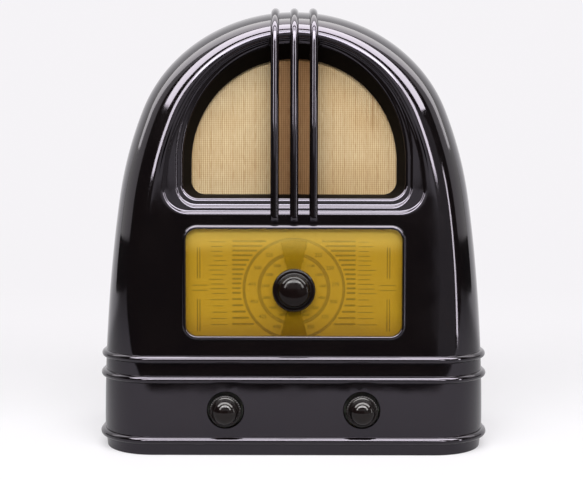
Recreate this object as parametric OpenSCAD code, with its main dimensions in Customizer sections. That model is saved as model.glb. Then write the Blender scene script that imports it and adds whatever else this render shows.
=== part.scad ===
// Table radio with valves, in an arched moulded cabinet.
// The frame: +Z up, the front faces -Y, +X is the right side seen from the front.
// The origin is under the middle of the whole set, on the surface it stands on.
// Depths, here written d, run backwards from the plane of the cabinet's front.

/* [Cabinet arch] */
// Radius of the round top, seen from the front
arch_r = 150; // [144:1:156]
// Height of the centre of the round top
arch_z = 254; // [250:1:260]
// Radius of the shoulders below the round top
shoulder_r = 350; // [320:5:380]
// Angle above level where the round top becomes the shoulder
shoulder_angle = 22; // [20:0.5:24]
// Radius of the long flanks below the shoulders
flank_r = 1470; // [1400:10:1540]
// Angle above level where the shoulder becomes the flank
flank_angle = 8; // [7.5:0.25:8.5]
// Depth of the moulding, from its front plane to its back edge
body_depth = 226; // [222:1:240]
// Thickness of the moulded wall
wall = 4.5; // [4:0.25:5]
// Width of the front roll at the foot of the sides, seen from the front
foot_roll_w = 50; // [44:1:52]
// Width of the front roll beside the speaker opening
side_roll_w = 37; // [34:1:38]
// Width of the front roll over the top
top_roll_w = 30; // [26:1:31]
// Depth of the front roll at the sides
side_roll_d = 56; // [48:1:64]
// Depth of the front roll over the top
top_roll_d = 110; // [95:1:125]

/* [Cabinet base] */
// Height of the plinth, up to the middle of the lowest bead
plinth_h = 13.5; // [12:0.5:15]
// Height of the middle of the bead over the base panel
panel_bead_z = 68; // [66:0.5:70]
// Height of the middle of the upper bead
upper_bead_z = 86; // [84:0.5:88]
// Height of each bead
bead_h = 7; // [6:0.5:8]
// How far the beads stand out
bead_proud = 4; // [3:0.25:5]
// How far the plinth draws in towards the table
plinth_taper = 2; // [1:0.25:3]
// Underside of the cabinet floor above the table
floor_z = 4; // [3:0.5:5]
// Thickness of the cabinet floor
floor_t = 5; // [4:0.5:6]

/* [Speaker opening] */
// Radius of the round top of the opening
opening_r = 93; // [90:0.5:95]
// Height of the centre of that round top
opening_z = 261.5; // [259:0.5:264]
// Height of the flat lower edge of the opening
opening_bottom = 231.5; // [230:0.5:234]
// Radius of the lower corners of the opening
opening_corner = 12; // [10:0.5:14]
// Depth of the flared reveal
reveal_d = 20; // [17:0.5:22]
// Depth of the rear face of the ring behind the opening
seat_d = 24; // [23:0.5:26]
// Width of that ring
seat_w = 12; // [11:0.5:14]

/* [Ribs] */
// Distance between two ribs
rib_pitch = 17.2; // [16:0.1:18.5]
// Width of a rib
rib_w = 7.5; // [6.5:0.25:8.5]
// How far the ribs stand out
rib_proud = 3.5; // [2.5:0.25:4.5]
// Height of the lower end of the ribs
rib_foot_z = 208.5; // [207.5:0.5:211]
// Thickness of the bar that crosses the opening
rib_bar_d = 13; // [10:0.5:15]
// How far the ribs bow out in front of the opening
rib_bow = 2.5; // [1:0.25:4]

/* [Dial] */
// Half the width of the dial window
window_hw = 95.5; // [93:0.5:98]
// Lower edge of the dial window
window_z0 = 107; // [105:0.5:109]
// Upper edge of the dial window
window_z1 = 202; // [200:0.5:203]
// Corner radius of the dial window
window_r = 10; // [8:0.5:12]
// Width of the bead round the window
frame_w = 3.6; // [3:0.2:4.2]
// How far that bead stands out
frame_proud = 2; // [1.5:0.1:2.5]
// Height of the tuning axis
tuning_z = 148; // [146:0.5:150]
// How far the window sheet, scale and back plate reach past the window
dial_lap = 6; // [5:0.5:7]
// Thickness of the window sheet
window_t = 1.5; // [1:0.1:2]
// Depth of the front of the scale
scale_d = 12; // [11:0.25:13]
// Thickness of the scale
scale_t = 1; // [0.6:0.1:1.4]
// Thickness of the steel back plate
back_plate_t = 1.2; // [1:0.1:1.6]
// Length of each arm of the pointer
pointer_len = 42; // [38:1:44]

/* [Knobs] */
// Half the distance between the two lower knobs
knob_x = 60.5; // [58:0.5:63]
// Height of the two lower knobs
knob_z = 41; // [39:0.5:43]
// Radius of the skirt of a lower knob
knob_r = 14.3; // [13.5:0.1:15]
// Radius of the hole round a lower knob
knob_hole_r = 15.8; // [15.3:0.1:17]
// How far a lower knob stands out
knob_proud = 18; // [16:0.5:20]
// Radius of the tuning knob
tuning_knob_r = 19; // [17.5:0.25:20.5]
// How far the tuning knob stands out
tuning_knob_proud = 16; // [13:0.5:17]
// Radius of all the control spindles
spindle_r = 3.175; // [3:0.025:3.3]
// Radial running clearance of a turning spindle
running = 0.05; // [0.03:0.01:0.09]

/* [Chassis] */
// Half the width of the chassis
chassis_hw = 140; // [136:1:144]
// Depth of the front of the chassis
chassis_d0 = 24; // [22:0.5:26]
// Depth of the back of the chassis
chassis_d1 = 200; // [196:1:203]
// Height of the top of the chassis deck
deck_z = 72; // [70:1:75]
// Thickness of the chassis steel
steel_t = 1.5; // [1.2:0.1:1.8]
// Radius of the chassis bolts
chassis_bolt_r = 2.5; // [2:0.25:3]

/* [Valves] */
// Radius of a valve bulb
bulb_r = 20; // [18:0.5:21]
// Height of a valve bulb above its base
bulb_h = 74; // [68:1:78]
// Radius of a valve base
base_r = 16; // [15:0.5:17]
// Height of a valve base
base_h = 26; // [22:1:30]
// Height of a valve holder above the deck
holder_h = 5; // [4:0.5:6]

/* [Tuning capacitor] */
// Half the width of the tuning capacitor
gang_hw = 32; // [31:0.5:34]
// Depth of the front plate of the tuning capacitor
gang_d0 = 42; // [42:0.5:44]
// Length of the tuning capacitor
gang_len = 92; // [90:1:96]
// Radius of the moving vanes
vane_r = 26; // [24:0.5:27]
// Distance from one moving vane to the next
vane_pitch = 4; // [3.6:0.1:4.2]
// Thickness of each vane
vane_t = 1.2; // [1:0.1:1.4]
// Vanes in each of the three sections
vane_count = 5; // [4:1:5]

/* [Speaker] */
// Radius of the speaker's rim
speaker_r = 84; // [82:0.5:86]
// Radius of the paper cone
cone_r = 65; // [62:0.5:67]
// Radius of the voice coil
coil_r = 13; // [12:0.25:14]
// Radius of the magnet pot
pot_r = 40; // [38:0.5:42]
// Length of the magnet pot
pot_len = 52; // [48:1:56]
// Thickness of the baffle board
baffle_t = 8; // [7:0.5:9]
// Thickness of the speaker cloth
cloth_t = 0.8; // [0.5:0.1:1]

/* [Back cover] */
// Thickness of the back cover
cover_t = 3; // [2.5:0.25:3.5]
// How far the back cover sits inside the cabinet's back edge
cover_inset = 5; // [4:0.5:7]
// Clearance between the back cover and the cabinet wall
cover_gap = 0.4; // [0.3:0.1:0.6]
// Radius of the vent holes
vent_r = 5; // [4:0.25:5.5]

/* [Hidden] */

$fn = 48;
front_y = (knob_proud - body_depth) / 2;
bakelite = [0.09, 0.07, 0.08];
steel = [0.62, 0.62, 0.6];
aluminium = [0.75, 0.76, 0.77];
brass = [0.78, 0.62, 0.3];
paxolin = [0.45, 0.27, 0.12];
// The gap left between pieces that are set against each other
seat_gap = 0.2;

function lerp(a, b, u) = a + (b - a) * u;
function smooth(u) = let(t = max(0, min(1, u))) t * t * (3 - 2 * t);
function on_arc(c, r, a) = c + r * [cos(a), sin(a)];
function mirrored(half) = concat(half, [for (i = [len(half) - 2:-1:1]) [-half[i][0], half[i][1]]]);

// Centres of the shoulder and flank arcs of the right side
shoulder_c = on_arc([0, arch_z], arch_r - shoulder_r, shoulder_angle);
flank_c = on_arc(shoulder_c, shoulder_r - flank_r, flank_angle);

// Segments of half an outline: bottom edge, flank or corner, shoulder or side, round top
n_flank = 4;
n_shoulder = 3;
n_top = 14;

function arch_point(a, off) =
    a <= flank_angle ? on_arc(flank_c, flank_r + off, a) :
    a <= shoulder_angle ? on_arc(shoulder_c, shoulder_r + off, a) :
    on_arc([0, arch_z], arch_r + off, a);
function foot_angle(off, z) = asin((z - flank_c[1]) / (flank_r + off));
function roll_w(a) =
    a <= flank_angle ? lerp(foot_roll_w, side_roll_w, smooth(a / flank_angle)) :
    lerp(side_roll_w, top_roll_w, smooth((a - flank_angle) / (90 - flank_angle)));
function roll_d(a) = lerp(side_roll_d, top_roll_d, smooth((a - shoulder_angle) / (90 - shoulder_angle)));

// Angles of the points of half the arch, from its foot at height z to the crown
function arch_angles(z, off) = concat(
    [for (i = [0:n_flank]) lerp(foot_angle(off, z), flank_angle, i / n_flank)],
    [for (i = [1:n_shoulder]) lerp(flank_angle, shoulder_angle, i / n_shoulder)],
    [for (i = [1:n_top]) lerp(shoulder_angle, 90, i / n_top)]);

// One ring of the cabinet skin: t goes from 0 on the front plane to 90 on the sides,
// skin is the wall thickness that the ring lies inside the outer face
function skin_half(t, skin, z) =
    let(off0 = -skin - (foot_roll_w - skin) * (1 - sin(t)))
    let(arc = [for (a = arch_angles(z, off0)) arch_point(a, -skin - (roll_w(a) - skin) * (1 - sin(t)))])
    concat([[0, z], [arc[0][0] * 0.55, z], [arc[0][0], z]], [for (i = [1:len(arc) - 1]) arc[i]]);
function skin_depth_half(t, skin, z) =
    let(d = [for (a = arch_angles(z, 0)) skin + (roll_d(a) - skin) * (1 - cos(t))])
    concat([d[0], d[0]], d);
function both_sides(half) = concat(half, [for (i = [len(half) - 2:-1:1]) half[i]]);
function skin_ring(t, skin, z) =
    let(p = mirrored(skin_half(t, skin, z)), d = both_sides(skin_depth_half(t, skin, z)))
    [for (i = [0:len(p) - 1]) [p[i][0], front_y + d[i], p[i][1]]];
function flat_ring(points, d) = [for (p = points) [p[0], front_y + d, p[1]]];

// Half of an outline that follows the speaker opening, grown by side, top and bottom
function opening_half(side, top, bottom, corner, flare) =
    let(hw = opening_r + side, z0 = opening_bottom - bottom)
    let(raw = concat(
        [[0, z0], [(hw - corner) * 0.55, z0]],
        [for (i = [0:n_flank]) let(a = 90 * i / n_flank) [hw - corner, z0 + corner] + corner * [sin(a), -cos(a)]],
        [for (i = [1:n_shoulder]) [hw, lerp(z0 + corner, opening_z, i / n_shoulder)]],
        [for (i = [1:n_top]) let(a = 90 * i / n_top) [hw * cos(a), opening_z + (opening_r + top) * sin(a)]]))
    [for (p = raw) [p[0] * (1 + flare / hw * flare_share(p[1])), p[1]]];
function flare_share(z) = let(z1 = opening_z + opening_r * 0.55) smooth((z1 - z) / (z1 - opening_bottom));
function opening_outline(grow) = mirrored(opening_half(grow, grow, grow, opening_corner + grow, 0));

// The steps round the opening: side, top and bottom growth, corner, flare and depth
surround = [
    [-1, -1, -1, 0, 0, reveal_d],
    [4.5, 10, 1.5, 1, 0, 6],
    [6.5, 12.5, 3.5, 2, 0, 3.6],
    [10, 14, 8.5, 5, 0, 3.2],
    [11.5, 15, 10.5, 6, 0, 1.8],
    [12.5, 15.7, 14, 8, 8, 1.5],
    [14, 16.5, 16, 9, 9, 0]];

// A closed skin through rings of equally many points
module rings(list) {
    n = len(list[0]);
    points = [for (r = list) each r];
    sides = [for (k = [0:len(list) - 2]) for (i = [0:n - 1])
        let(j = (i + 1) % n) each [
            [k * n + i, k * n + j, (k + 1) * n + j],
            [k * n + i, (k + 1) * n + j, (k + 1) * n + i]]];
    first = [[for (i = [n - 1:-1:0]) i]];
    last = [[for (i = [0:n - 1]) (len(list) - 1) * n + i]];
    polyhedron(points, concat(sides, first, last), convexity = 10);
}

// A flat outline drawn in x and z, made solid from depth d0 to depth d1
module slab(d0, d1) {
    translate([0, front_y + d1, 0])
        rotate([90, 0, 0])
            linear_extrude(d1 - d0)
                children();
}

// Round things whose axis runs backwards from depth d
module on_axis(x, d, z) {
    translate([x, front_y + d, z])
        rotate([-90, 0, 0])
            children();
}

// Things that stand on the deck or hang from a height z
module standing(x, d, z) {
    translate([x, front_y + d, z])
        children();
}

module tube(r, bore, h) {
    difference() {
        cylinder(r = r, h = h);
        translate([0, 0, -1])
            cylinder(r = bore, h = h + 2);
    }
}

module rounded(w, h, r) {
    polygon([for (c = [[1, 1, 0], [-1, 1, 90], [-1, -1, 180], [1, -1, 270]]) for (i = [0:6])
        [c[0] * (w / 2 - r), c[1] * (h / 2 - r)] + r * [cos(c[2] + 15 * i), sin(c[2] + 15 * i)]]);
}

// Plan of the base: straight back, elliptical front corners
function plan_half(z, grow) =
    let(x = arch_point(foot_angle(0, z), grow)[0], w = foot_roll_w + grow, d = side_roll_d + grow)
    concat([[0, -grow], [(x - w) * 0.55, -grow]],
        [for (i = [0:12]) [x - w + w * sin(7.5 * i), -grow + d * (1 - cos(7.5 * i))]],
        [[x, lerp(d, body_depth, 0.5)], [x, body_depth]]);
function plan(z, grow) =
    let(h = plan_half(z, grow))
    concat(h, [for (i = [len(h) - 1:-1:1]) [-h[i][0], h[i][1]]]);

// A half-round bead round the front and sides at height z
module bead(z) {
    inner = plan_half(z, -1);
    outer = plan_half(z, 0);
    open = [for (i = [len(inner) - 1:-1:1]) [[-inner[i][0], inner[i][1]], [-outer[i][0], outer[i][1]]]];
    path = concat(open, [for (i = [0:len(inner) - 1]) [inner[i], outer[i]]]);
    arch = [for (k = [0:6]) [cos(30 * k - 90), sin(30 * k - 90)]];
    sections = [for (p = path)
        let(out = (p[1] - p[0]) / norm(p[1] - p[0]))
        concat([[p[0][0], front_y + p[0][1], z - bead_h / 2]],
            [for (s = arch) [p[1][0] + out[0] * bead_proud * s[0],
                front_y + p[1][1] + out[1] * bead_proud * s[0], z + bead_h / 2 * s[1]]],
            [[p[0][0], front_y + p[0][1], z + bead_h / 2]])];
    intersection() {
        rings(sections);
        slab(-bead_proud - 1, body_depth)
            translate([-arch_r * 2, z - bead_h])
                square([arch_r * 4, bead_h * 2]);
    }
}

// Where the middle of a rib runs: height and depth along the front, the roll and the top
rib_path = concat(
    [for (z = [rib_foot_z, rib_foot_z + 4]) [z, 0]],
    [for (i = [0:10]) let(z = lerp(opening_bottom - 14, opening_z + opening_r + 14, i / 10))
        [z, -rib_bow * sin(18 * i)]],
    [for (t = [15:15:90]) [arch_z + arch_r - top_roll_w * (1 - sin(t)), top_roll_d * (1 - cos(t))]],
    [[arch_z + arch_r, body_depth]]);
function rib_out(i) =
    let(a = rib_path[max(0, i - 1)], b = rib_path[min(len(rib_path) - 1, i + 1)], v = (b - a) / norm(b - a))
    [v[1], -v[0]];

module rib(x) {
    sections = [for (i = [0:len(rib_path) - 1])
        let(p = rib_path[i], out = rib_out(i), lift = i == 0 ? 0.3 : rib_proud)
        let(over = p[0] > opening_bottom - seat_w / 2 && p[0] < opening_z + opening_r + seat_w / 2)
        let(depth = over ? rib_bar_d : 2)
        concat([[x - rib_w / 2, front_y + p[1] - out[1] * depth, p[0] - out[0] * depth]],
            [for (k = [0:6]) let(c = cos(30 * k - 90), s = sin(30 * k - 90))
                [x + rib_w / 2 * s, front_y + p[1] + out[1] * lift * c, p[0] + out[0] * lift * c]],
            [[x + rib_w / 2, front_y + p[1] - out[1] * depth, p[0] - out[0] * depth]])];
    rings([for (s = sections) [for (i = [len(s) - 1:-1:0]) s[i]]]);
}

// Lugs inside the back edge that take the back cover's screws, by angle round the arch
lug_angles = [5, 38, 90];
lug_len = 14;
lug_w = 9;
cover_d = body_depth - cover_inset - cover_t;
function lug_at(a) = arch_point(a, -wall - lug_w / 2);

module lug(a) {
    p = lug_at(a);
    q = arch_point(a, -wall / 2);
    hull() {
        on_axis(p[0], cover_d - lug_len, p[1])
            cylinder(r = lug_w / 2, h = lug_len, $fn = 24);
        on_axis(q[0], cover_d - lug_len - lug_w, q[1])
            cylinder(r = 1.5, h = lug_len + lug_w, $fn = 12);
    }
}

// Where the chassis bolts and the screws of the baffle and the dial go
flange = 24;
chassis_bolts_at = [for (x = [-1, 1]) for (d = [chassis_d0 + 18, chassis_d1 - 22])
    [x * (chassis_hw - flange / 2), d]];
baffle_screws_at = [for (x = [-1, 1]) each [
    [x * (opening_r + seat_w / 2), opening_bottom + opening_corner + 3],
    [x * (opening_r + seat_w / 2) * cos(22), opening_z + (opening_r + seat_w / 2) * sin(22)]]];
dial_screws_at = [for (x = [-1, 1]) for (z = [window_z0 + 12, window_z1 - 12])
    [x * (window_hw + dial_lap + 5), z]];
boss_r = 4.5;
pilot_r = 1.3;
clear_r = 1.8;
floor_top = floor_z + floor_t;
// Height of the four pads that the chassis stands on
boss_rise = 3;

module window_shape(grow) {
    translate([0, (window_z0 + window_z1) / 2])
        rounded(2 * (window_hw + grow), window_z1 - window_z0 + 2 * grow, window_r + grow);
}

module cabinet_outside() {
    rings(concat(
        [for (s = surround)
            flat_ring(mirrored(opening_half(s[0], s[1], s[2], opening_corner + s[3], s[4])), s[5])],
        [for (t = [0, 12, 24, 36, 48, 60, 72, 81, 90]) skin_ring(t, 0, plinth_h)],
        [flat_ring(mirrored(skin_half(90, 0, plinth_h)), body_depth)]));
    hull() {
        translate([0, front_y, plinth_h + 1])
            linear_extrude(0.1)
                polygon(plan(plinth_h, -0.5));
        translate([0, front_y, 0])
            linear_extrude(0.1)
                polygon(plan(plinth_h, -plinth_taper));
    }
    for (z = [plinth_h, panel_bead_z, upper_bead_z])
        bead(z);
    hull() {
        slab(-frame_proud, 1)
            window_shape(frame_w * 0.4);
        slab(0, 1)
            window_shape(frame_w);
    }
}

module cabinet_inside() {
    difference() {
        rings(concat(
            [for (t = [0, 20, 40, 60, 75, 90]) skin_ring(t, wall, floor_top)],
            [flat_ring(mirrored(skin_half(90, wall, floor_top)), body_depth + 1)]));
        hull() {
            slab(0, wall + 1)
                polygon(opening_outline(seat_w + 4));
            slab(wall, seat_d)
                polygon(opening_outline(seat_w));
        }
        for (p = dial_screws_at)
            on_axis(p[0], 0, p[1])
                cylinder(r = boss_r, h = scale_d + scale_t, $fn = 24);
        for (x = [-1, 1])
            mirror([x < 0 ? 1 : 0, 0, 0])
                for (a = lug_angles)
                    if (x > 0 || a < 90)
                        lug(a);
        for (p = chassis_bolts_at)
            hull() {
                standing(p[0], p[1], floor_z)
                    cylinder(r = 9, h = floor_t + 1, $fn = 24);
                standing(p[0], p[1], floor_z)
                    cylinder(r = 7, h = floor_t + boss_rise, $fn = 24);
            }
    }
    // Under the floor
    translate([0, front_y, -1])
        linear_extrude(floor_z + 1)
            polygon(plan(plinth_h, -wall - plinth_taper));
}
module cabinet() color(bakelite) {
    difference() {
        cabinet_outside();
        cabinet_inside();
        slab(-5, seat_d + 1)
            polygon(opening_outline(0));
        slab(-frame_proud - 1, wall + 1)
            window_shape(0);
        for (x = [-knob_x, knob_x])
            on_axis(x, -bead_proud - 1, knob_z)
                cylinder(r = knob_hole_r, h = bead_proud + wall + 3, $fn = 40);
        for (p = chassis_bolts_at)
            standing(p[0], p[1], 0)
                cylinder(r = chassis_bolt_r + 0.4, h = floor_top + boss_rise + 1, $fn = 24);
        for (p = dial_screws_at)
            on_axis(p[0], wall + 1, p[1])
                cylinder(r = pilot_r, h = scale_d, $fn = 16);
        for (p = baffle_screws_at)
            on_axis(p[0], seat_d - 8, p[1])
                cylinder(r = pilot_r, h = 9, $fn = 16);
        for (x = [-1, 1])
            for (a = lug_angles)
                on_axis(x * lug_at(a)[0], cover_d - 11, lug_at(a)[1])
                    cylinder(r = pilot_r, h = 12, $fn = 16);
    }
    intersection() {
        for (i = [-1:1])
            rib(i * rib_pitch);
        slab(-20, body_depth)
            translate([-arch_r, 0])
                square([2 * arch_r, 2 * arch_z]);
    }
}

module speaker_cloth() color([0.72, 0.6, 0.42]) {
    slab(seat_d, seat_d + cloth_t)
        difference() {
            polygon(opening_outline(seat_w - 2));
            for (p = baffle_screws_at)
                translate(p)
                    circle(r = clear_r, $fn = 16);
        }
}

// The board behind the cloth that carries the speaker
board_d0 = seat_d + cloth_t;
board_d1 = board_d0 + baffle_t;
board_margin = 22;
speaker_z = (opening_bottom + opening_z + opening_r) / 2;

module baffle_board() color([0.6, 0.45, 0.28]) {
    slab(board_d0, board_d1)
        difference() {
            polygon(opening_outline(board_margin));
            translate([0, speaker_z])
                circle(r = speaker_r - 10, $fn = 64);
            for (p = baffle_screws_at)
                translate(p)
                    circle(r = clear_r, $fn = 16);
            for (p = speaker_bolts_at)
                translate(p)
                    circle(r = 2.2, $fn = 16);
        }
}

module wood_screw(x, d, z, long, r = 1.7, head_r = 3.5) {
    on_axis(x, d, z) {
        translate([0, 0, -long])
            cylinder(r = r, h = long + 0.5);
        difference() {
            intersection() {
                cylinder(r = head_r, h = 2);
                translate([0, 0, -head_r * 1.1])
                    sphere(r = head_r * 1.5);
            }
            translate([-head_r, -0.5, 1.2])
                cube([2 * head_r, 1, 2]);
        }
    }
}

module baffle_screws() color(brass) {
    for (p = baffle_screws_at)
        wood_screw(p[0], board_d1, p[1], baffle_t + 7, 1.2);
}

module dial_window() color([0.85, 0.66, 0.1, 0.5]) {
    slab(wall, wall + window_t)
        difference() {
            window_shape(dial_lap);
            translate([0, tuning_z])
                circle(r = spindle_r + 2);
        }
}

sleeve_r = 5;
module dial_scale() color([0.86, 0.72, 0.3]) {
    slab(scale_d, scale_d + scale_t)
        difference() {
            window_shape(dial_lap);
            translate([0, tuning_z])
                circle(r = sleeve_r + 2);
        }
}

plate_d = scale_d + scale_t;
lamp_x = 62;
lamp_r = 5.5;
module dial_back_plate() color(steel) {
    slab(plate_d, plate_d + back_plate_t)
        difference() {
            translate([0, (window_z0 + window_z1) / 2])
                rounded(2 * (window_hw + dial_lap + 5 + boss_r), window_z1 - window_z0 + 2 * dial_lap,
                    window_r);
            translate([0, tuning_z])
                circle(r = sleeve_r + 2);
            for (x = [-lamp_x, lamp_x])
                translate([x, tuning_z])
                    circle(r = lamp_r + 1.5);
            for (p = dial_screws_at)
                translate(p)
                    circle(r = clear_r, $fn = 16);
        }
}

module dial_screws() color(steel) {
    for (p = dial_screws_at)
        wood_screw(p[0], plate_d + back_plate_t, p[1], 6, 1.2, 3);
}

lamp_d = plate_d + back_plate_t + 5;
module dial_lamps() color([0.95, 0.92, 0.8]) {
    for (x = [-lamp_x, lamp_x])
        on_axis(x, lamp_d, tuning_z) {
            sphere(r = lamp_r - 0.3);
            cylinder(r = 4.7, h = 12);
            cylinder(r = 1.6, h = 13.5);
        }
}

module lamp_holders() color(brass) {
    for (x = [-lamp_x, lamp_x])
        on_axis(x, lamp_d + 4, tuning_z) {
            tube(6, 4.9, 9);
            translate([-3, -20, 3])
                cube([6, 14.6, 1.2]);
            translate([-3, -20, plate_d + back_plate_t - lamp_d - 4])
                cube([6, 1.2, lamp_d + 8 - plate_d - back_plate_t]);
            translate([-3, -30, plate_d + back_plate_t - lamp_d - 4])
                cube([6, 11, 1.2]);
        }
}

pointer_d = wall + window_t + 1.6;
module pointer() color([0.3, 0.18, 0.05]) {
    arm = [[sleeve_r + 1, -3], [pointer_len, -12], [pointer_len + 2, 0], [pointer_len, 12], [sleeve_r + 1, 3]];
    on_axis(0, pointer_d, tuning_z) {
        tube(sleeve_r + 3, sleeve_r, 2);
        for (a = [90, 270])
            linear_extrude(0.6)
                polygon([for (p = arm) [p[0] * cos(a) - p[1] * sin(a), p[0] * sin(a) + p[1] * cos(a)]]);
    }
}

// Knobs: a bored back, a cap turned in one profile, a hole for the grub screw
spindle_front = 8;
screw_r = 1.3;
screw_d = -1.5;
knob_back = 1.5;
module tuning_knob() color(bakelite) {
    on_axis(0, 0, tuning_z)
        difference() {
            rotate_extrude($fn = 96)
                polygon(concat(
                    [[0, -tuning_knob_proud]],
                    [for (i = [1:6]) let(a = 15 * i)
                        [(tuning_knob_r - 5.5) * sin(a), -tuning_knob_proud + 5 * (1 - cos(a))]],
                    [[tuning_knob_r - 4.6, -6.5], [tuning_knob_r - 4.2, -5], [tuning_knob_r - 1.6, -5],
                        [tuning_knob_r - 0.5, -4.4], [tuning_knob_r, -3.2], [tuning_knob_r, knob_back - 1.5],
                        [tuning_knob_r - 1.5, knob_back], [0, knob_back]]));
            translate([0, 0, -spindle_front - 2])
                cylinder(r = spindle_r, h = spindle_front + knob_back + 3);
            translate([0, 0, screw_d])
                rotate([90, 0, 0])
                    cylinder(r = screw_r, h = tuning_knob_r + 1, $fn = 24);
        }
}

module grub_screw(x, d, z, long) {
    on_axis(x, d, z)
        rotate([90, 0, 0])
            difference() {
                translate([0, 0, spindle_r])
                    cylinder(r = screw_r, h = long, $fn = 24);
                translate([-0.4, -screw_r, spindle_r + long - 1])
                    cube([0.8, 2 * screw_r, 2]);
            }
}

module tuning_knob_screw() color(steel) grub_screw(0, screw_d, tuning_z, 9);

ball_r = 3.75;
neck_r = 1.9;
ball_track = neck_r + ball_r + running;
race_r = ball_track + ball_r + running;
drive_d = gang_d0 - 17;
ball_d = gang_d0 - 9;
module tuning_spindle() color(steel) {
    on_axis(0, -spindle_front, tuning_z) {
        cylinder(r = spindle_r, h = spindle_front + ball_d - 4);
        cylinder(r = neck_r, h = spindle_front + ball_d + 3.5);
    }
}

module drive_housing() color(brass) {
    on_axis(0, drive_d, tuning_z)
        difference() {
            union() {
                cylinder(r = race_r + 4.5, h = gang_d0 - drive_d);
                translate([0, 0, gang_d0 - drive_d - 2])
                    cylinder(r = race_r + 9, h = 2);
            }
            translate([0, 0, -1])
                cylinder(r = sleeve_r + running, h = 4);
            translate([0, 0, 2])
                cylinder(r = race_r, h = gang_d0 - drive_d);
        }
}

shaft_front = gang_d0 - 4;
module drive_carrier() color(brass) {
    difference() {
        union() {
            on_axis(0, pointer_d - 0.4, tuning_z)
                cylinder(r = sleeve_r, h = drive_d + 3.5 - pointer_d);
            on_axis(0, drive_d + 2.3, tuning_z)
                cylinder(r = race_r - 0.4, h = gang_d0 - drive_d - 3);
        }
        on_axis(0, 0, tuning_z)
            cylinder(r = spindle_r + running, h = ball_d - 3.9);
        on_axis(0, 0, tuning_z)
            cylinder(r = neck_r + running, h = ball_d + 3.8);
        on_axis(0, shaft_front, tuning_z)
            cylinder(r = spindle_r, h = 8);
        for (a = [90, 210, 330])
            on_axis(0, ball_d, tuning_z)
                rotate([90, 0, a])
                    cylinder(r = ball_r + running, h = race_r + 1);
    }
}

module drive_balls() color(steel) {
    for (a = [90, 210, 330])
        on_axis(0, ball_d, tuning_z)
            rotate([90, 0, a])
                translate([0, 0, ball_track])
                    sphere(r = ball_r);
}

// The tuning capacitor: a frame of plates, fixed vanes below, moving vanes on the shaft
rod_ring = vane_r + 2.4;
gang_z0 = tuning_z - rod_ring - 3.5;
gang_z1 = tuning_z + vane_r + 3;
gang_d1 = gang_d0 + gang_len;
section_len = (gang_len - 2) / 3;
function section_d(k) = gang_d0 + 2 + section_len * k;

module gang_frame() color(aluminium) {
    standing(-gang_hw, gang_d0, gang_z0)
        cube([2 * gang_hw, gang_len, 1.5]);
    difference() {
        for (d = [gang_d0, section_d(1) - 1.2, section_d(2) - 1.2, gang_d1 - 2])
            standing(-gang_hw, d, gang_z0)
                cube([2 * gang_hw, d == gang_d0 || d == gang_d1 - 2 ? 2 : 1.2, gang_z1 - gang_z0]);
        on_axis(0, gang_d0 - 1, tuning_z)
            cylinder(r = spindle_r + running, h = gang_len + 2);
        on_axis(0, gang_d0 + 3, tuning_z)
            cylinder(r = spindle_r + 3, h = gang_len - 6);
    }
}

module gang_stators() color(aluminium) {
    for (k = [0:2]) {
        for (i = [0:vane_count])
            slab(section_d(k) + 2 + vane_pitch * i, section_d(k) + 2 + vane_pitch * i + vane_t)
                translate([0, tuning_z])
                    difference() {
                        intersection() {
                            circle(r = rod_ring + 0.8);
                            translate([-vane_r * 2, -vane_r * 2])
                                square([vane_r * 4, vane_r * 2 - 1]);
                        }
                        circle(r = spindle_r + 4);
                    }
        for (a = [-45, -135]) {
            on_axis(rod_ring * cos(a), section_d(k) + 2, tuning_z + rod_ring * sin(a))
                cylinder(r = 1.6, h = vane_pitch * vane_count + vane_t);
            for (u = [2.5, vane_pitch * vane_count - 1.5])
                standing(rod_ring * cos(a) - 2, section_d(k) + u, gang_z0 + 1.5)
                    cube([4, 4, tuning_z + rod_ring * sin(a) - gang_z0 - 1.5]);
        }
    }
}

module gang_rotor() color(aluminium) {
    on_axis(0, shaft_front, tuning_z)
        cylinder(r = spindle_r, h = gang_d1 + 2 - shaft_front);
    for (k = [0:2]) {
        on_axis(0, section_d(k) + 1.5, tuning_z)
            cylinder(r = spindle_r + 2, h = vane_pitch * vane_count + 2);
        for (i = [0:vane_count - 1])
            slab(section_d(k) + 2 + vane_pitch * (i + 0.5), section_d(k) + 2 + vane_pitch * (i + 0.5) + vane_t)
                translate([0, tuning_z])
                    intersection() {
                        circle(r = vane_r);
                        translate([-vane_r * 2, -vane_r])
                            square([vane_r * 2, vane_r * 2]);
                    }
    }
}

module gang_bracket() color(steel) {
    standing(-gang_hw + 4, gang_d0 + 8, gang_z0 - steel_t)
        cube([2 * gang_hw - 8, gang_len - 16, steel_t]);
    for (d = [gang_d0 + 8, gang_d1 - 8 - steel_t]) {
        standing(-gang_hw + 4, d, deck_z)
            cube([2 * gang_hw - 8, steel_t, gang_z0 - deck_z]);
        standing(-gang_hw + 4, d == gang_d0 + 8 ? d : d - 9, deck_z)
            cube([2 * gang_hw - 8, 9 + steel_t, steel_t]);
    }
}

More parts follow.
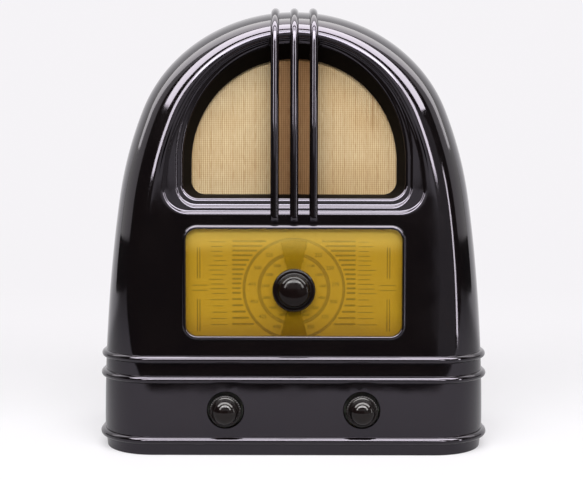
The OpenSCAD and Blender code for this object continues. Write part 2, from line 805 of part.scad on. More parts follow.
// The two lower knobs: a ridged skirt and a domed cap
ridges = 40;
skirt_d = -7;
module lower_knob(x) {
    on_axis(x, 0, knob_z)
        difference() {
            union() {
                translate([0, 0, skirt_d])
                    linear_extrude(knob_back - skirt_d)
                        polygon([for (i = [0:4 * ridges - 1])
                            let(r = knob_r - (i % 4 < 2 ? 0 : 0.7), a = i * 90 / ridges) r * [cos(a), sin(a)]]);
                rotate_extrude($fn = 72)
                    polygon(concat(
                        [[0, -knob_proud]],
                        [for (i = [1:6]) let(a = 15 * i)
                            [(knob_r - 3.6) * sin(a), -knob_proud + 6 * (1 - cos(a))]],
                        [[knob_r - 3, skirt_d - 1], [knob_r - 1.6, skirt_d], [knob_r - 1.6, 0], [0, 0]]));
            }
            translate([0, 0, -spindle_front - 2])
                cylinder(r = spindle_r, h = spindle_front + knob_back + 3);
            translate([0, 0, screw_d])
                rotate([90, 0, 0])
                    cylinder(r = screw_r, h = knob_r + 1, $fn = 24);
        }
}

module volume_knob() color(bakelite) lower_knob(-knob_x);
module wave_knob() color(bakelite) lower_knob(knob_x);
module volume_knob_screw() color(steel) grub_screw(-knob_x, screw_d, knob_z, 8);
module wave_knob_screw() color(steel) grub_screw(knob_x, screw_d, knob_z, 8);

bush_r = 4.75;
pot_d1 = chassis_d0 + steel_t + 14;
wave_d1 = chassis_d0 + steel_t + 34;
module volume_spindle() color(steel) {
    on_axis(-knob_x, -spindle_front, knob_z)
        cylinder(r = spindle_r, h = spindle_front + pot_d1 - 2);
}

module volume_control() color([0.2, 0.18, 0.17]) {
    on_axis(-knob_x, chassis_d0, knob_z)
        difference() {
            union() {
                translate([0, 0, -4])
                    cylinder(r = bush_r, h = 8);
                translate([0, 0, steel_t])
                    cylinder(r = 15, h = pot_d1 - chassis_d0 - steel_t);
                for (x = [-7, 0, 7])
                    translate([x - 1.5, -20, steel_t + 4])
                        cube([3, 8, 1]);
            }
            translate([0, 0, -5])
                cylinder(r = spindle_r + running, h = pot_d1 - chassis_d0 + 5 - 1.5);
        }
}

module wave_spindle() color(steel) {
    on_axis(knob_x, -spindle_front, knob_z)
        cylinder(r = spindle_r, h = spindle_front + wave_d1 + 1);
}

module wave_switch() color(paxolin) {
    on_axis(knob_x, chassis_d0, knob_z)
        difference() {
            union() {
                translate([0, 0, -4])
                    cylinder(r = bush_r, h = 8);
                translate([0, 0, steel_t])
                    cylinder(r = 14, h = 5);
                for (u = [16, 32])
                    translate([0, 0, steel_t + u])
                        cylinder(r = 19, h = 2);
                for (x = [-13, 13])
                    translate([x, 0, steel_t + 1])
                        cylinder(r = 1.6, h = 35, $fn = 16);
                for (x = [-12, 12])
                    translate([x, 0, steel_t])
                        cylinder(r = 3, h = 17, $fn = 24);
            }
            translate([0, 0, -5])
                cylinder(r = spindle_r + running, h = 45);
        }
}

module control_nuts() color(brass) {
    for (x = [-knob_x, knob_x])
        on_axis(x, chassis_d0 - 3, knob_z)
            difference() {
                cylinder(r = 8, h = 3, $fn = 6);
                translate([0, 0, -1])
                    cylinder(r = bush_r, h = 5);
            }
}

// What stands on the deck: x and depth of each
changer_at = [-112, 62];
if_valve_at = [-112, 114];
output_at = [-58, 170];
rectifier_at = [98, 170];
cans_at = [[8, 172], [48, 172]];
if_cans_at = [[-64, 62], [-112, 170]];
coil_can_at = [-64, 114];
power_at = [106, 96];
audio_at = [56, 66];
valves_at = [changer_at, if_valve_at, output_at, rectifier_at];

chassis_z0 = floor_top + boss_rise;
socket_x = [-92, -68];
socket_z = 44;
grommet_at = [84, 40];
grommet_r = 8;
rear_d = chassis_d1 - steel_t;
module chassis() color(steel) {
    difference() {
        standing(-chassis_hw, chassis_d0, chassis_z0)
            cube([2 * chassis_hw, chassis_d1 - chassis_d0, deck_z - chassis_z0]);
        standing(-chassis_hw + steel_t, chassis_d0 + steel_t, chassis_z0 - 1)
            cube([2 * (chassis_hw - steel_t), chassis_d1 - chassis_d0 - 2 * steel_t,
                deck_z - chassis_z0 + 1 - steel_t]);
        for (x = [-knob_x, knob_x])
            on_axis(x, chassis_d0 - 1, knob_z)
                cylinder(r = bush_r, h = steel_t + 2);
        for (p = valves_at)
            standing(p[0], p[1], deck_z - steel_t - 1)
                cylinder(r = 14, h = steel_t + 2);
        on_axis(grommet_at[0], rear_d - 1, grommet_at[1])
            cylinder(r = grommet_r, h = steel_t + 2);
        for (x = socket_x)
            on_axis(x, rear_d - 1, socket_z)
                cylinder(r = 5, h = steel_t + 2);
    }
    for (p = chassis_bolts_at)
        difference() {
            standing(p[0] - flange / 2, p[1] - flange / 2, chassis_z0)
                cube([flange, flange, steel_t]);
            standing(p[0], p[1], chassis_z0 - 1)
                cylinder(r = chassis_bolt_r + 0.3, h = steel_t + 2);
        }
}

module chassis_bolts() color(steel) {
    for (p = chassis_bolts_at)
        standing(p[0], p[1], 0) {
            translate([0, 0, floor_z - 3])
                cylinder(r = chassis_bolt_r * 1.9, h = 3, $fn = 6);
            translate([0, 0, floor_z - 1])
                cylinder(r = chassis_bolt_r, h = chassis_z0 + steel_t + 7 - floor_z);
            translate([0, 0, chassis_z0 + steel_t])
                cylinder(r = chassis_bolt_r * 1.9, h = 4, $fn = 6);
        }
}

// A transformer: a laminated core of outer size w by h with a stack of depth t, and its winding
power_size = [62, 36, 76];
audio_size = [36, 20, 40];
module core_of(at, size) {
    w = size[0];
    t = size[1];
    h = size[2];
    standing(at[0], at[1], deck_z)
        difference() {
            translate([-w / 2, -t / 2, 0])
                cube([w, t, h]);
            for (x = [-1, 1])
                translate([x * w / 4 - w / 12, -t / 2 - 1, h / 6])
                    cube([w / 6, t + 2, h * 2 / 3]);
        }
}

module coil_of(at, size) {
    w = size[0];
    t = size[1];
    h = size[2];
    standing(at[0], at[1], deck_z)
        difference() {
            translate([-w / 3, -t / 2 - w / 6, h / 6])
                cube([w * 2 / 3, t + w / 3, h * 2 / 3]);
            translate([-w / 6, -t / 2, 0])
                cube([w / 3, t, h]);
        }
}

module transformer_cores() color([0.25, 0.25, 0.27]) {
    core_of(power_at, power_size);
    core_of(audio_at, audio_size);
}

module transformer_coils() color([0.75, 0.68, 0.45]) {
    coil_of(power_at, power_size);
    coil_of(audio_at, audio_size);
}

can_r = 17.5;
can_h = 88;
module smoothing_cans() color(aluminium) {
    for (p = cans_at)
        standing(p[0], p[1], deck_z)
            rotate_extrude()
                polygon([[0, 0], [can_r + 1, 0], [can_r + 1, 3], [can_r, 3], [can_r, can_h - 2],
                    [can_r - 1.5, can_h], [0, can_h]]);
}

if_can_w = 34;
if_can_h = 74;
module if_cans() color(aluminium) {
    for (p = if_cans_at)
        standing(p[0], p[1], deck_z)
            difference() {
                linear_extrude(if_can_h)
                    rounded(if_can_w, if_can_w, 4);
                for (y = [-8, 8])
                    translate([0, y, if_can_h - 4])
                        cylinder(r = 2.5, h = 5);
            }
}

coil_can_r = 19;
coil_can_h = 78;
module coil_can() color(aluminium) {
    standing(coil_can_at[0], coil_can_at[1], deck_z)
        rotate_extrude()
            polygon([[0, 0], [coil_can_r + 2, 0], [coil_can_r + 2, 2.5], [coil_can_r, 2.5],
                [coil_can_r, coil_can_h - 2], [coil_can_r - 2, coil_can_h], [0, coil_can_h]]);
}

pin_ring = 8.5;
module valve_holders() color(paxolin) {
    for (p = valves_at)
        standing(p[0], p[1], deck_z)
            difference() {
                union() {
                    cylinder(r = 17, h = holder_h);
                    linear_extrude(2)
                        rounded(50, 14, 6);
                }
                for (a = [0:72:288])
                    rotate(a)
                        translate([pin_ring, 0, -1])
                            cylinder(r = 1.45, h = holder_h + 2, $fn = 24);
            }
}

module valve_bases() color(bakelite) {
    for (p = valves_at)
        standing(p[0], p[1], deck_z + holder_h) {
            rotate_extrude()
                polygon([[0, 0], [base_r - 1, 0], [base_r, 1], [base_r, base_h - 2], [base_r - 1.5, base_h],
                    [0, base_h]]);
            for (a = [0:72:288])
                rotate(a)
                    translate([pin_ring, 0, -8])
                        cylinder(r = 1.25, h = 10, $fn = 24);
        }
}

function bulb_profile(r, h) = concat(
    [for (i = [0:4]) [lerp(r * 0.66, r, smooth(i / 4)), h * 0.42 * i / 4]],
    [for (i = [1:3]) [lerp(r, r * 0.72, smooth(i / 3)), lerp(h * 0.42, h * 0.78, i / 3)]],
    [for (i = [1:5]) [r * 0.72 * cos(18 * i), lerp(h * 0.78, h, sin(18 * i))]]);
glass_t = 1;
module bulb(at) {
    outer = bulb_profile(bulb_r, bulb_h);
    inner = [for (p = bulb_profile(bulb_r - glass_t, bulb_h - glass_t)) [p[0], max(glass_t, p[1])]];
    standing(at[0], at[1], deck_z + holder_h + base_h)
        rotate_extrude()
            polygon(concat([[0, 0]], outer, [[0, bulb_h - glass_t]],
                [for (i = [len(inner) - 2:-1:0]) inner[i]], [[0, glass_t]]));
}

module screened_valves() color([0.66, 0.6, 0.45]) {
    bulb(changer_at);
    bulb(if_valve_at);
}

module clear_valves() color([0.85, 0.9, 0.92, 0.35]) {
    bulb(output_at);
    bulb(rectifier_at);
}

module valve_electrodes() color([0.35, 0.34, 0.34]) {
    for (p = valves_at)
        standing(p[0], p[1], deck_z + holder_h + base_h + glass_t) {
            cylinder(r = 5, h = 10);
            for (x = [-7, 7])
                translate([x, 0, 8])
                    cylinder(r = 0.6, h = 42, $fn = 16);
            translate([0, 0, 14])
                cylinder(r = 8, h = 30);
            for (z = [12, 45])
                translate([0, 0, z])
                    cylinder(r = 11, h = 0.8);
            translate([0, 0, 8])
                cylinder(r = 1, h = 8, $fn = 16);
        }
}

cap_z = deck_z + holder_h + base_h + bulb_h;
cap_h = 8;
module top_caps() color(brass) {
    for (p = [changer_at, if_valve_at])
        standing(p[0], p[1], cap_z)
            cylinder(r = 4, h = cap_h);
}

// A grid lead runs from each top cap, over, and down on to the can beside it
lead_r = 1.6;
module lead(a, za, b, zb, rise) {
    n = 16;
    line = [for (i = [0:n]) let(u = i / n)
        [lerp(a[0], b[0], smooth(u)), lerp(a[1], b[1], smooth(u)), lerp(za, zb, u) + rise * sin(180 * u)]];
    sections = [for (i = [0:n])
        let(v = line[min(n, i + 1)] - line[max(0, i - 1)], w = i == 0 || i == n ? [0, 0, v[2]] : v)
        let(t = w / norm(w), s = cross(t, [b[1] - a[1], a[0] - b[0], 0] / norm(b - a)), q = cross(t, s))
        [for (k = [0:7]) let(p = line[i] + lead_r * (cos(45 * k) * s + sin(45 * k) * q))
            [p[0], front_y + p[1], p[2]]]];
    rings(sections);
}

module top_cap_leads() color([0.25, 0.22, 0.2]) {
    lead(changer_at, cap_z + cap_h + seat_gap, if_cans_at[0] + [-10, 0], deck_z + if_can_h + seat_gap, 26);
    lead(if_valve_at, cap_z + cap_h + seat_gap, coil_can_at + [-8, 0], deck_z + coil_can_h + seat_gap, 26);
}

// The speaker, from the baffle board backwards
frame_d = board_d1;
basket_len = 52;
cone_d = frame_d + 1.8;
cone_depth = 34;
neck_d = cone_d + cone_depth;
back_plate_d = frame_d + basket_len;
speaker_bolts_at = [for (a = [45:90:315])
    [(speaker_r - 4) * cos(a), speaker_z + (speaker_r - 4) * sin(a)]];

module speaker_frame() color([0.3, 0.3, 0.31]) {
    difference() {
        on_axis(0, frame_d, speaker_z)
            rotate_extrude($fn = 72)
                polygon([[speaker_r - 16, 0], [speaker_r, 0], [speaker_r, 2], [speaker_r - 8, 2],
                    [speaker_r - 9.5, 4.5], [pot_r + 5, basket_len - 6], [pot_r + 5, basket_len],
                    [coil_r + 16, basket_len], [coil_r + 16, basket_len - 2], [pot_r + 3, basket_len - 2],
                    [pot_r + 3, basket_len - 6], [speaker_r - 11.5, 4], [speaker_r - 11.5, 1.5],
                    [speaker_r - 16, 1.5]]);
        for (a = [0:90:270])
            on_axis(0, frame_d + 11, speaker_z)
                rotate([0, 0, a])
                    translate([10, 10, 0])
                        cube([speaker_r, speaker_r, 32]);
        for (p = speaker_bolts_at)
            on_axis(p[0], frame_d - 1, p[1])
                cylinder(r = 2.2, h = 8);
    }
}

module speaker_bolts() color(steel) {
    for (p = speaker_bolts_at)
        on_axis(p[0], board_d0, p[1]) {
            cylinder(r = 2, h = baffle_t + 8);
            translate([0, 0, baffle_t + 2])
                cylinder(r = 3.8, h = 3, $fn = 6);
        }
}

module speaker_cone() color([0.2, 0.17, 0.14]) {
    on_axis(0, cone_d, speaker_z)
        rotate_extrude($fn = 72)
            polygon(concat(
                [for (i = [0:6]) let(u = i / 6) [lerp(cone_r, coil_r + 0.3, u), cone_depth * pow(u, 0.8)]],
                [for (i = [6:-1:0]) let(u = i / 6) [lerp(cone_r, coil_r + 0.3, u), cone_depth * pow(u, 0.8) + 0.9]]));
}

module cone_surround() color([0.15, 0.12, 0.1]) {
    on_axis(0, cone_d, speaker_z)
        rotate_extrude($fn = 72)
            polygon([[cone_r, 0], [cone_r + 1.5, -1.3], [speaker_r - 16, -0.2], [speaker_r - 12, -0.2],
                [speaker_r - 12, 0.6], [speaker_r - 16, 0.6], [cone_r + 1.5, -0.4], [cone_r, 0.9]]);
}

module speaker_spider() color([0.7, 0.55, 0.3]) {
    on_axis(0, back_plate_d - 2.7, speaker_z)
        difference() {
            cylinder(r = coil_r + 20, h = 0.6);
            translate([0, 0, -1])
                cylinder(r = coil_r + 0.4, h = 3);
        }
}

module voice_coil() color([0.7, 0.4, 0.2]) {
    on_axis(0, neck_d, speaker_z)
        tube(coil_r + 0.2, coil_r - 0.1, back_plate_d + pot_plate - neck_d);
}

module dust_cap() color([0.12, 0.1, 0.09]) {
    on_axis(0, neck_d - 6, speaker_z)
        rotate_extrude()
            polygon([[0, 0], [8, 1.5], [coil_r - 0.1, 5], [coil_r - 0.1, 6], [8, 2.5], [0, 1]]);
}

// The magnet: front plate, pot wall, end plate, and the pole inside the voice coil
pole_r = coil_r - 0.7;
pot_wall = 4;
pot_plate = 6;
pole_gap_r = coil_r + 1.2;
module speaker_magnet() color([0.32, 0.32, 0.33]) {
    on_axis(0, back_plate_d, speaker_z) {
        tube(pot_r, pole_gap_r, pot_plate);
        tube(pot_r, pot_r - pot_wall, pot_len);
        translate([0, 0, pot_len - pot_plate])
            cylinder(r = pot_r, h = pot_plate);
        cylinder(r = pole_r, h = pot_len - pot_plate + 1);
    }
}

module field_coil() color([0.55, 0.3, 0.12]) {
    on_axis(0, back_plate_d + pot_plate, speaker_z)
        tube(pot_r - pot_wall, pole_gap_r, pot_len - 2 * pot_plate);
}

// The back: vented board, with a window for the sockets and the mains grommet
vent_pitch = 18;
vent_rise = 22;
vent_z = 190;
module back_cover() color([0.42, 0.28, 0.16]) {
    slab(cover_d, cover_d + cover_t)
        difference() {
            polygon(mirrored(concat([[0, floor_top + cover_gap]],
                [for (a = arch_angles(floor_top, -wall - cover_gap))
                    let(p = arch_point(a, -wall - cover_gap)) [p[0], max(floor_top + cover_gap, p[1])]])));
            for (row = [0:6])
                for (i = [-5 + (row > 3 ? 1 : 0):5 - (row > 3 ? 1 : 0)])
                    translate([i * vent_pitch, vent_z + row * vent_rise])
                        circle(r = vent_r);
            translate([(socket_x[0] + socket_x[1]) / 2, socket_z])
                rounded(70, 36, 6);
            translate(grommet_at)
                circle(r = grommet_r + 10);
            for (x = [-1, 1])
                for (a = lug_angles)
                    if (x > 0 || a < 90)
                        translate([x * lug_at(a)[0], lug_at(a)[1]])
                            circle(r = clear_r, $fn = 16);
        }
}

module back_screws() color(brass) {
    for (x = [-1, 1])
        for (a = lug_angles)
            if (x > 0 || a < 90)
                wood_screw(x * lug_at(a)[0], cover_d + cover_t, lug_at(a)[1], cover_t + 9, 1.2);
}

socket_bore = 2;
socket_r = 3.4;
module socket_strip() color(paxolin) {
    slab(chassis_d1, chassis_d1 + 2)
        difference() {
            translate([(socket_x[0] + socket_x[1]) / 2, socket_z])
                rounded(58, 22, 4);
            for (x = socket_x)
                translate([x, socket_z])
                    circle(r = socket_r);
        }
}

module sockets() color(brass) {
    for (x = socket_x)
        on_axis(x, chassis_d1 - 4, socket_z)
            difference() {
                union() {
                    cylinder(r = socket_r, h = 10);
                    translate([0, 0, 6])
                        cylinder(r = 5, h = 6);
                }
                translate([0, 0, 1])
                    cylinder(r = socket_bore, h = 14);
            }
}

module mains_grommet() color([0.12, 0.11, 0.1]) {
    on_axis(grommet_at[0], rear_d - 2, grommet_at[1])
        rotate_extrude()
            polygon([[4, 0], [10, 0], [10, 2], [grommet_r, 2], [grommet_r, 2 + steel_t], [10, 2 + steel_t],
                [10, 4 + steel_t], [8, 5.5 + steel_t], [4, 5.5 + steel_t]]);
}

// The board under the deck, its pillars, and the small parts that it carries
board_z = 52;
board_x0 = -110;
board_w = 130;
board_y0 = 84;
board_y1 = 150;
pillar_r = 3;
module component_board() color(paxolin) {
    standing(board_x0, board_y0, board_z)
        cube([board_w, board_y1 - board_y0, 2]);
    for (x = [6, board_w - 6])
        for (y = [board_y0 + 6, board_y1 - 6])
            standing(board_x0 + x, y, board_z + 1)
                cylinder(r = pillar_r, h = deck_z - steel_t - board_z - 1);
}

module small_part(x, d, r, long) {
    standing(x, d - long / 2, board_z - r - 1.5)
        rotate([-90, 0, 0])
            cylinder(r = r, h = long);
    for (s = [-1, 1]) {
        standing(x, d + s * (long / 2 + 4) - (s > 0 ? 5 : 0), board_z - r - 1.5)
            rotate([-90, 0, 0])
                cylinder(r = 0.5, h = 5, $fn = 16);
        standing(x, d + s * (long / 2 + 4), board_z - r - 1.9)
            cylinder(r = 0.5, h = r + 1.9, $fn = 16);
    }
}

module small_parts() color([0.6, 0.35, 0.2]) {
    for (i = [0:7])
        small_part(board_x0 + 14 + 10 * i, board_y0 + 33, 2.6 + (i % 3) * 0.4, 22);
    for (i = [0:1])
        small_part(board_x0 + 98 + 19 * i, board_y0 + 33, 7, 40);
}

cabinet();
speaker_cloth();
baffle_board();
baffle_screws();
dial_window();
dial_scale();
dial_back_plate();
dial_screws();
dial_lamps();
lamp_holders();
pointer();
tuning_knob();
tuning_knob_screw();
tuning_spindle();
drive_housing();
drive_carrier();
drive_balls();
gang_frame();
gang_stators();
gang_rotor();
gang_bracket();
volume_knob();
volume_knob_screw();
volume_spindle();
volume_control();
wave_knob();
wave_knob_screw();
wave_spindle();
wave_switch();
control_nuts();
chassis();
chassis_bolts();
transformer_cores();
transformer_coils();
smoothing_cans();
if_cans();
coil_can();
valve_holders();
valve_bases();
screened_valves();
clear_valves();
valve_electrodes();
top_caps();
top_cap_leads();
speaker_frame();
speaker_cone();
cone_surround();
speaker_spider();
voice_coil();
dust_cap();
speaker_magnet();
field_coil();
speaker_bolts();
back_cover();
back_screws();
socket_strip();
sockets();
mains_grommet();
component_board();
small_parts();
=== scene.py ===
# A table radio with valves in an arched black cabinet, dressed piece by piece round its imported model.
# Sizes are in millimetres, d is a depth behind the cabinet's front plane, and MM turns them to metres.
import random
from math import asin, cos, degrees, pi, radians, sin, sqrt

import bmesh
import bpy
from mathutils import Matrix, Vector


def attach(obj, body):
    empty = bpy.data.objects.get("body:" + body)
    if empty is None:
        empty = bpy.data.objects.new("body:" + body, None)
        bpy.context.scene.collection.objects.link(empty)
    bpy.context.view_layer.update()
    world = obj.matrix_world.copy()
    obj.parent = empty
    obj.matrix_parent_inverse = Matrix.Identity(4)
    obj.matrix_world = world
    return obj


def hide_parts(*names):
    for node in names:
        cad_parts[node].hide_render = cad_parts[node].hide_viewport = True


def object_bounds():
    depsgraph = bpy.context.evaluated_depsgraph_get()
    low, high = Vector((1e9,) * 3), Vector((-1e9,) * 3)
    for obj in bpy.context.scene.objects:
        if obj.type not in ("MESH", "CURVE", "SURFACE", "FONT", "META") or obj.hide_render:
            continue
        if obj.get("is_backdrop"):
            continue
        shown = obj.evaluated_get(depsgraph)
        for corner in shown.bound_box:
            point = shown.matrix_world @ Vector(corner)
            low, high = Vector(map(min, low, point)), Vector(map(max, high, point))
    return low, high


bpy.ops.wm.read_factory_settings(use_empty=True)
scene = bpy.context.scene
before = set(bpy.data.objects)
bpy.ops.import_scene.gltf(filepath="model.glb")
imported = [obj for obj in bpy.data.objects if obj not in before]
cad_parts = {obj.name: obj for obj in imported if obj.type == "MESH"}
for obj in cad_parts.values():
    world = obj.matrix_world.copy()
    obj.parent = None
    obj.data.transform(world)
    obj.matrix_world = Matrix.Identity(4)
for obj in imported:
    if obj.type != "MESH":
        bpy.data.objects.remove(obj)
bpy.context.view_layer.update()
MM = 0.001


# Camera, standing where the photographer stood: a short telephoto a little above the set,
# tilted down, and turned a hair so that the set leans as it does in the picture.
def placed(name, data):
    obj = bpy.data.objects.new(name, data)
    scene.collection.objects.link(obj)
    return obj


PHOTO_W, FOCAL_PX = 583, 1107
CAMERA_AT, TILT, LEAN = (-2.3, -1078.2, 240), 2.8, -0.12
camera_data = bpy.data.cameras.new("camera")
camera_data.sensor_width = 36
camera_data.lens = camera_data.sensor_width * FOCAL_PX / PHOTO_W
camera = placed("camera", camera_data)
camera.location = [c * MM for c in CAMERA_AT]
camera.rotation_euler = (radians(90 - TILT), radians(LEAN), 0)
scene.camera = camera
scene.view_settings.view_transform = "Standard"


# Studio: a white cotton sheet lies on the table and hangs behind it. Its near edge lies 0.3 m in
# front of the set, so the upper front mirrors the dark room and the base mirrors the sheet.
def linear(hex_colour):
    """An sRGB hex colour as the linear colour that Blender's sockets take."""
    parts = [int(hex_colour[i:i + 2], 16) / 255 for i in (0, 2, 4)]
    return [c / 12.92 if c <= 0.04045 else ((c + 0.055) / 1.055) ** 2.4 for c in parts] + [1]


def add(tree, kind, inputs=None, **settings):
    """Adds a shader node. A node or socket given for an input is linked, and a hex colour made linear."""
    node = tree.nodes.new("ShaderNode" + kind)
    for name, value in settings.items():
        setattr(node, name, value)
    for key, value in (inputs or {}).items():
        if isinstance(value, bpy.types.Node):
            value = next(output for output in value.outputs if output.enabled)
        if isinstance(value, str):
            value = linear(value)
        if isinstance(value, bpy.types.NodeSocket):
            tree.links.new(value, node.inputs[key])
        else:
            node.inputs[key].default_value = value
    return node


def empty_material(name):
    material = bpy.data.materials.new(name)
    material.use_nodes = True
    material.node_tree.nodes.clear()
    return material, material.node_tree


def shade_smooth(mesh, sharp_degrees):
    mesh.polygons.foreach_set("use_smooth", [True] * len(mesh.polygons))
    mesh.set_sharp_from_angle(angle=radians(sharp_degrees))


def mesh_object(name, points, faces, material):
    """A mesh from points in millimetres, smooth but for its sharp edges."""
    mesh = bpy.data.meshes.new(name)
    mesh.from_pydata([[c * MM for c in p] for p in points], [], faces)
    shape = bmesh.new()
    shape.from_mesh(mesh)
    bmesh.ops.recalc_face_normals(shape, faces=shape.faces)
    shape.to_mesh(mesh)
    shape.free()
    shade_smooth(mesh, 32)
    mesh.materials.append(material)
    return placed(name, mesh)


white_cotton, tree = empty_material("white_cotton_sheet")
place = add(tree, "TexCoord").outputs["Object"]
creases = add(tree, "TexNoise", {"Vector": place, "Scale": 3, "Detail": 2})
soft = add(tree, "Bump", {"Height": creases, "Strength": 0.12, "Distance": 0.05})
cotton = add(tree, "BsdfDiffuse", {"Color": "f4f3f5", "Normal": soft})
rays = add(tree, "LightPath")
# The sheet is cloth to the light that falls on it, and an even white to the camera and in mirrors.
# Where it hangs far behind the set, from 0.2 to 0.9 m back, it gets wholly even.
depth = add(tree, "SeparateXYZ", {0: place}).outputs["Y"]
hanging = add(tree, "MapRange", {"Value": depth, "From Min": 0.2, "From Max": 0.9},
              interpolation_type="SMOOTHSTEP")
mirrored = add(tree, "MapRange", {"Value": hanging, "To Min": 0.42, "To Max": 1})
level = add(tree, "Math", {0: rays.outputs["Is Camera Ray"], 1: mirrored}, operation="MAXIMUM")
glow = add(tree, "Emission", {"Color": "f7f5f8", "Strength": level})
seen = add(tree, "Math", {0: rays.outputs["Is Camera Ray"], 1: rays.outputs["Is Glossy Ray"]},
           operation="MAXIMUM")
seen = add(tree, "Math", {0: seen, 1: rays.outputs["Is Transmission Ray"]}, operation="MAXIMUM")
evened = add(tree, "MapRange", {"Value": hanging, "To Min": 0.55, "To Max": 0.97})
share = add(tree, "Math", {0: seen, 1: evened}, operation="MULTIPLY")
mixed = add(tree, "MixShader", {0: share, 1: cotton, 2: glow})
add(tree, "OutputMaterial", {"Surface": mixed})


def quarter(count):
    """The angles of a quarter turn in equal steps."""
    return [radians(90 * i / count) for i in range(count + 1)]


SHEET_NEAR, SHEET_FAR, SHEET_SIDE, SHEET_TOP, SHEET_BEND = -420, 1800, 2600, 3700, 350
sweep = [(SHEET_FAR - SHEET_BEND + SHEET_BEND * sin(a), SHEET_BEND * (1 - cos(a))) for a in quarter(15)]
sweep = [(SHEET_NEAR, 0)] + sweep + [(SHEET_FAR, SHEET_TOP)]
sheet_points = [(x, y, z) for y, z in sweep for x in (-SHEET_SIDE, SHEET_SIDE)]
sheet_faces = [(2 * i, 2 * i + 1, 2 * i + 3, 2 * i + 2) for i in range(len(sweep) - 1)]
mesh_object("backdrop", sheet_points, sheet_faces, white_cotton)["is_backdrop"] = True

# The room is dim, but past the sheet's edges the camera sees white
world = bpy.data.worlds.new("room")
scene.world = world
world.use_nodes = True
tree = world.node_tree
tree.nodes.clear()
rays = add(tree, "LightPath")
dark_room = add(tree, "Background", {"Color": "f2f0f4", "Strength": 0.04})
white_beyond = add(tree, "Background", {"Color": "f8f6f9", "Strength": 1})
mixed = add(tree, "MixShader", {0: rays.outputs["Is Camera Ray"], 1: dark_room, 2: white_beyond})
add(tree, "OutputWorld", {"Surface": mixed})


def lerp(a, b, u):
    return a + (b - a) * u


ARCH_STEPS, ARCH_MIDDLE_Z = 48, 230


def light_arch(name, radius, near_y, far_y, widths, strength, start, end):
    """A glowing strip bent over the set. Depths and widths are those at the table and on top."""
    points, faces = [], []
    for i in range(ARCH_STEPS + 1):
        a = radians(lerp(start, end, i / ARCH_STEPS))
        y = lerp(near_y, far_y, sin(a) ** 2)
        inward = Vector((cos(a) * radius, y, sin(a) * radius)).normalized()
        along = Vector((-sin(a), 0, cos(a)))
        side = inward.cross(along).normalized() * lerp(*widths, sin(a) ** 2) / 2
        middle = Vector((cos(a) * radius, y, ARCH_MIDDLE_Z + sin(a) * radius))
        points += [tuple(middle + side), tuple(middle - side)]
        if i:
            faces.append((2 * i - 2, 2 * i - 1, 2 * i + 1, 2 * i))
    glowing, tree = empty_material(name)
    lamp = add(tree, "Emission", {"Color": "fffdfb", "Strength": strength})
    add(tree, "OutputMaterial", {"Surface": lamp})
    strip = mesh_object(name, points, faces, glowing)
    strip.visible_camera = strip.visible_diffuse = strip.visible_shadow = False
    strip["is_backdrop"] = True


def soft_box(name, place_mm, aim_mm, width, height, watts, mirrored=True):
    light = bpy.data.lights.new(name, "AREA")
    light.shape = "RECTANGLE"
    light.size, light.size_y = width * MM, height * MM
    light.energy = watts
    lamp = placed(name, light)
    lamp.location = [c * MM for c in place_mm]
    aim = Vector(aim_mm) - Vector(place_mm)
    lamp.rotation_euler = aim.to_track_quat("-Z", "Y").to_euler()
    lamp.visible_camera = False
    lamp.visible_glossy = mirrored


# Strips of a light tent, which only the gloss shows, then a window, the bright room and its lamps
light_arch("tent_edge", 1100, -685, -375, (330, 740), 14.0, 26, 152)
light_arch("window_edge", 1100, -560, -560, (90, 90), 11.0, -14, 12)
light_arch("tent_cloth", 1300, 260, 330, (900, 900), 0.8, 0, 180)
light_arch("tent_roof", 1180, 330, 360, (120, 780), 3.6, 16, 164)
light_arch("front_arch", 800, -1350, -1150, (220, 320), 14.0, 10, 170)
soft_box("window_above_camera", (0, -1050, 690), (0, -100, 300), 900, 150, 8)
soft_box("bright_wall", (850, -1250, 300), (0, -100, 230), 1300, 900, 1.0)
soft_box("upper_room", (0, -1500, 430), (0, -100, 430), 1100, 400, 0.9)
soft_box("strip_lamp", (0, -760, 1260), (0, -100, 230), 1500, 300, 16.5, mirrored=False)
soft_box("room_light", (0, -1500, 900), (0, 0, 200), 1800, 900, 9, mirrored=False)
soft_box("room_light_behind", (0, 1100, 900), (0, 0, 200), 1600, 800, 9, mirrored=False)


# Cabinet: one heavy moulding of black phenolic, bakelite, pressed in a polished steel mould. It is
# black with a trace of brown, 4.5 mm thick, and takes its gloss from the mould, so it mirrors.
BAKELITE_IOR = 1.6
black_bakelite, tree = empty_material("black_bakelite")
place = add(tree, "TexCoord").outputs["Object"]
# Wood flour in the resin clouds it over some 30 mm, and polish leaves waves about 17 mm long
clouds = add(tree, "TexNoise", {"Vector": place, "Scale": 33, "Detail": 4})
waves = add(tree, "TexNoise", {"Vector": place, "Scale": 60, "Detail": 1})
# Grit of about 0.4 mm is the finest that shows
grit = add(tree, "TexNoise", {"Vector": place, "Scale": 2400, "Detail": 2})
colour = add(tree, "Mix", {0: clouds, 6: "060405", 7: "0c0807"}, data_type="RGBA")
worn = add(tree, "MapRange",
           {"Value": clouds, "From Min": 0.35, "From Max": 0.75, "To Min": 0.045, "To Max": 0.11})
wavy = add(tree, "Bump", {"Height": waves, "Strength": 0.03, "Distance": 0.002})
gritty = add(tree, "Bump", {"Height": grit, "Strength": 0.012, "Distance": 0.0004, "Normal": wavy})
shader = add(tree, "BsdfPrincipled", {"Base Color": colour, "Roughness": worn, "IOR": BAKELITE_IOR,
                                      "Normal": gritty, "Specular Tint": "f5edff"})
add(tree, "OutputMaterial", {"Surface": shader})

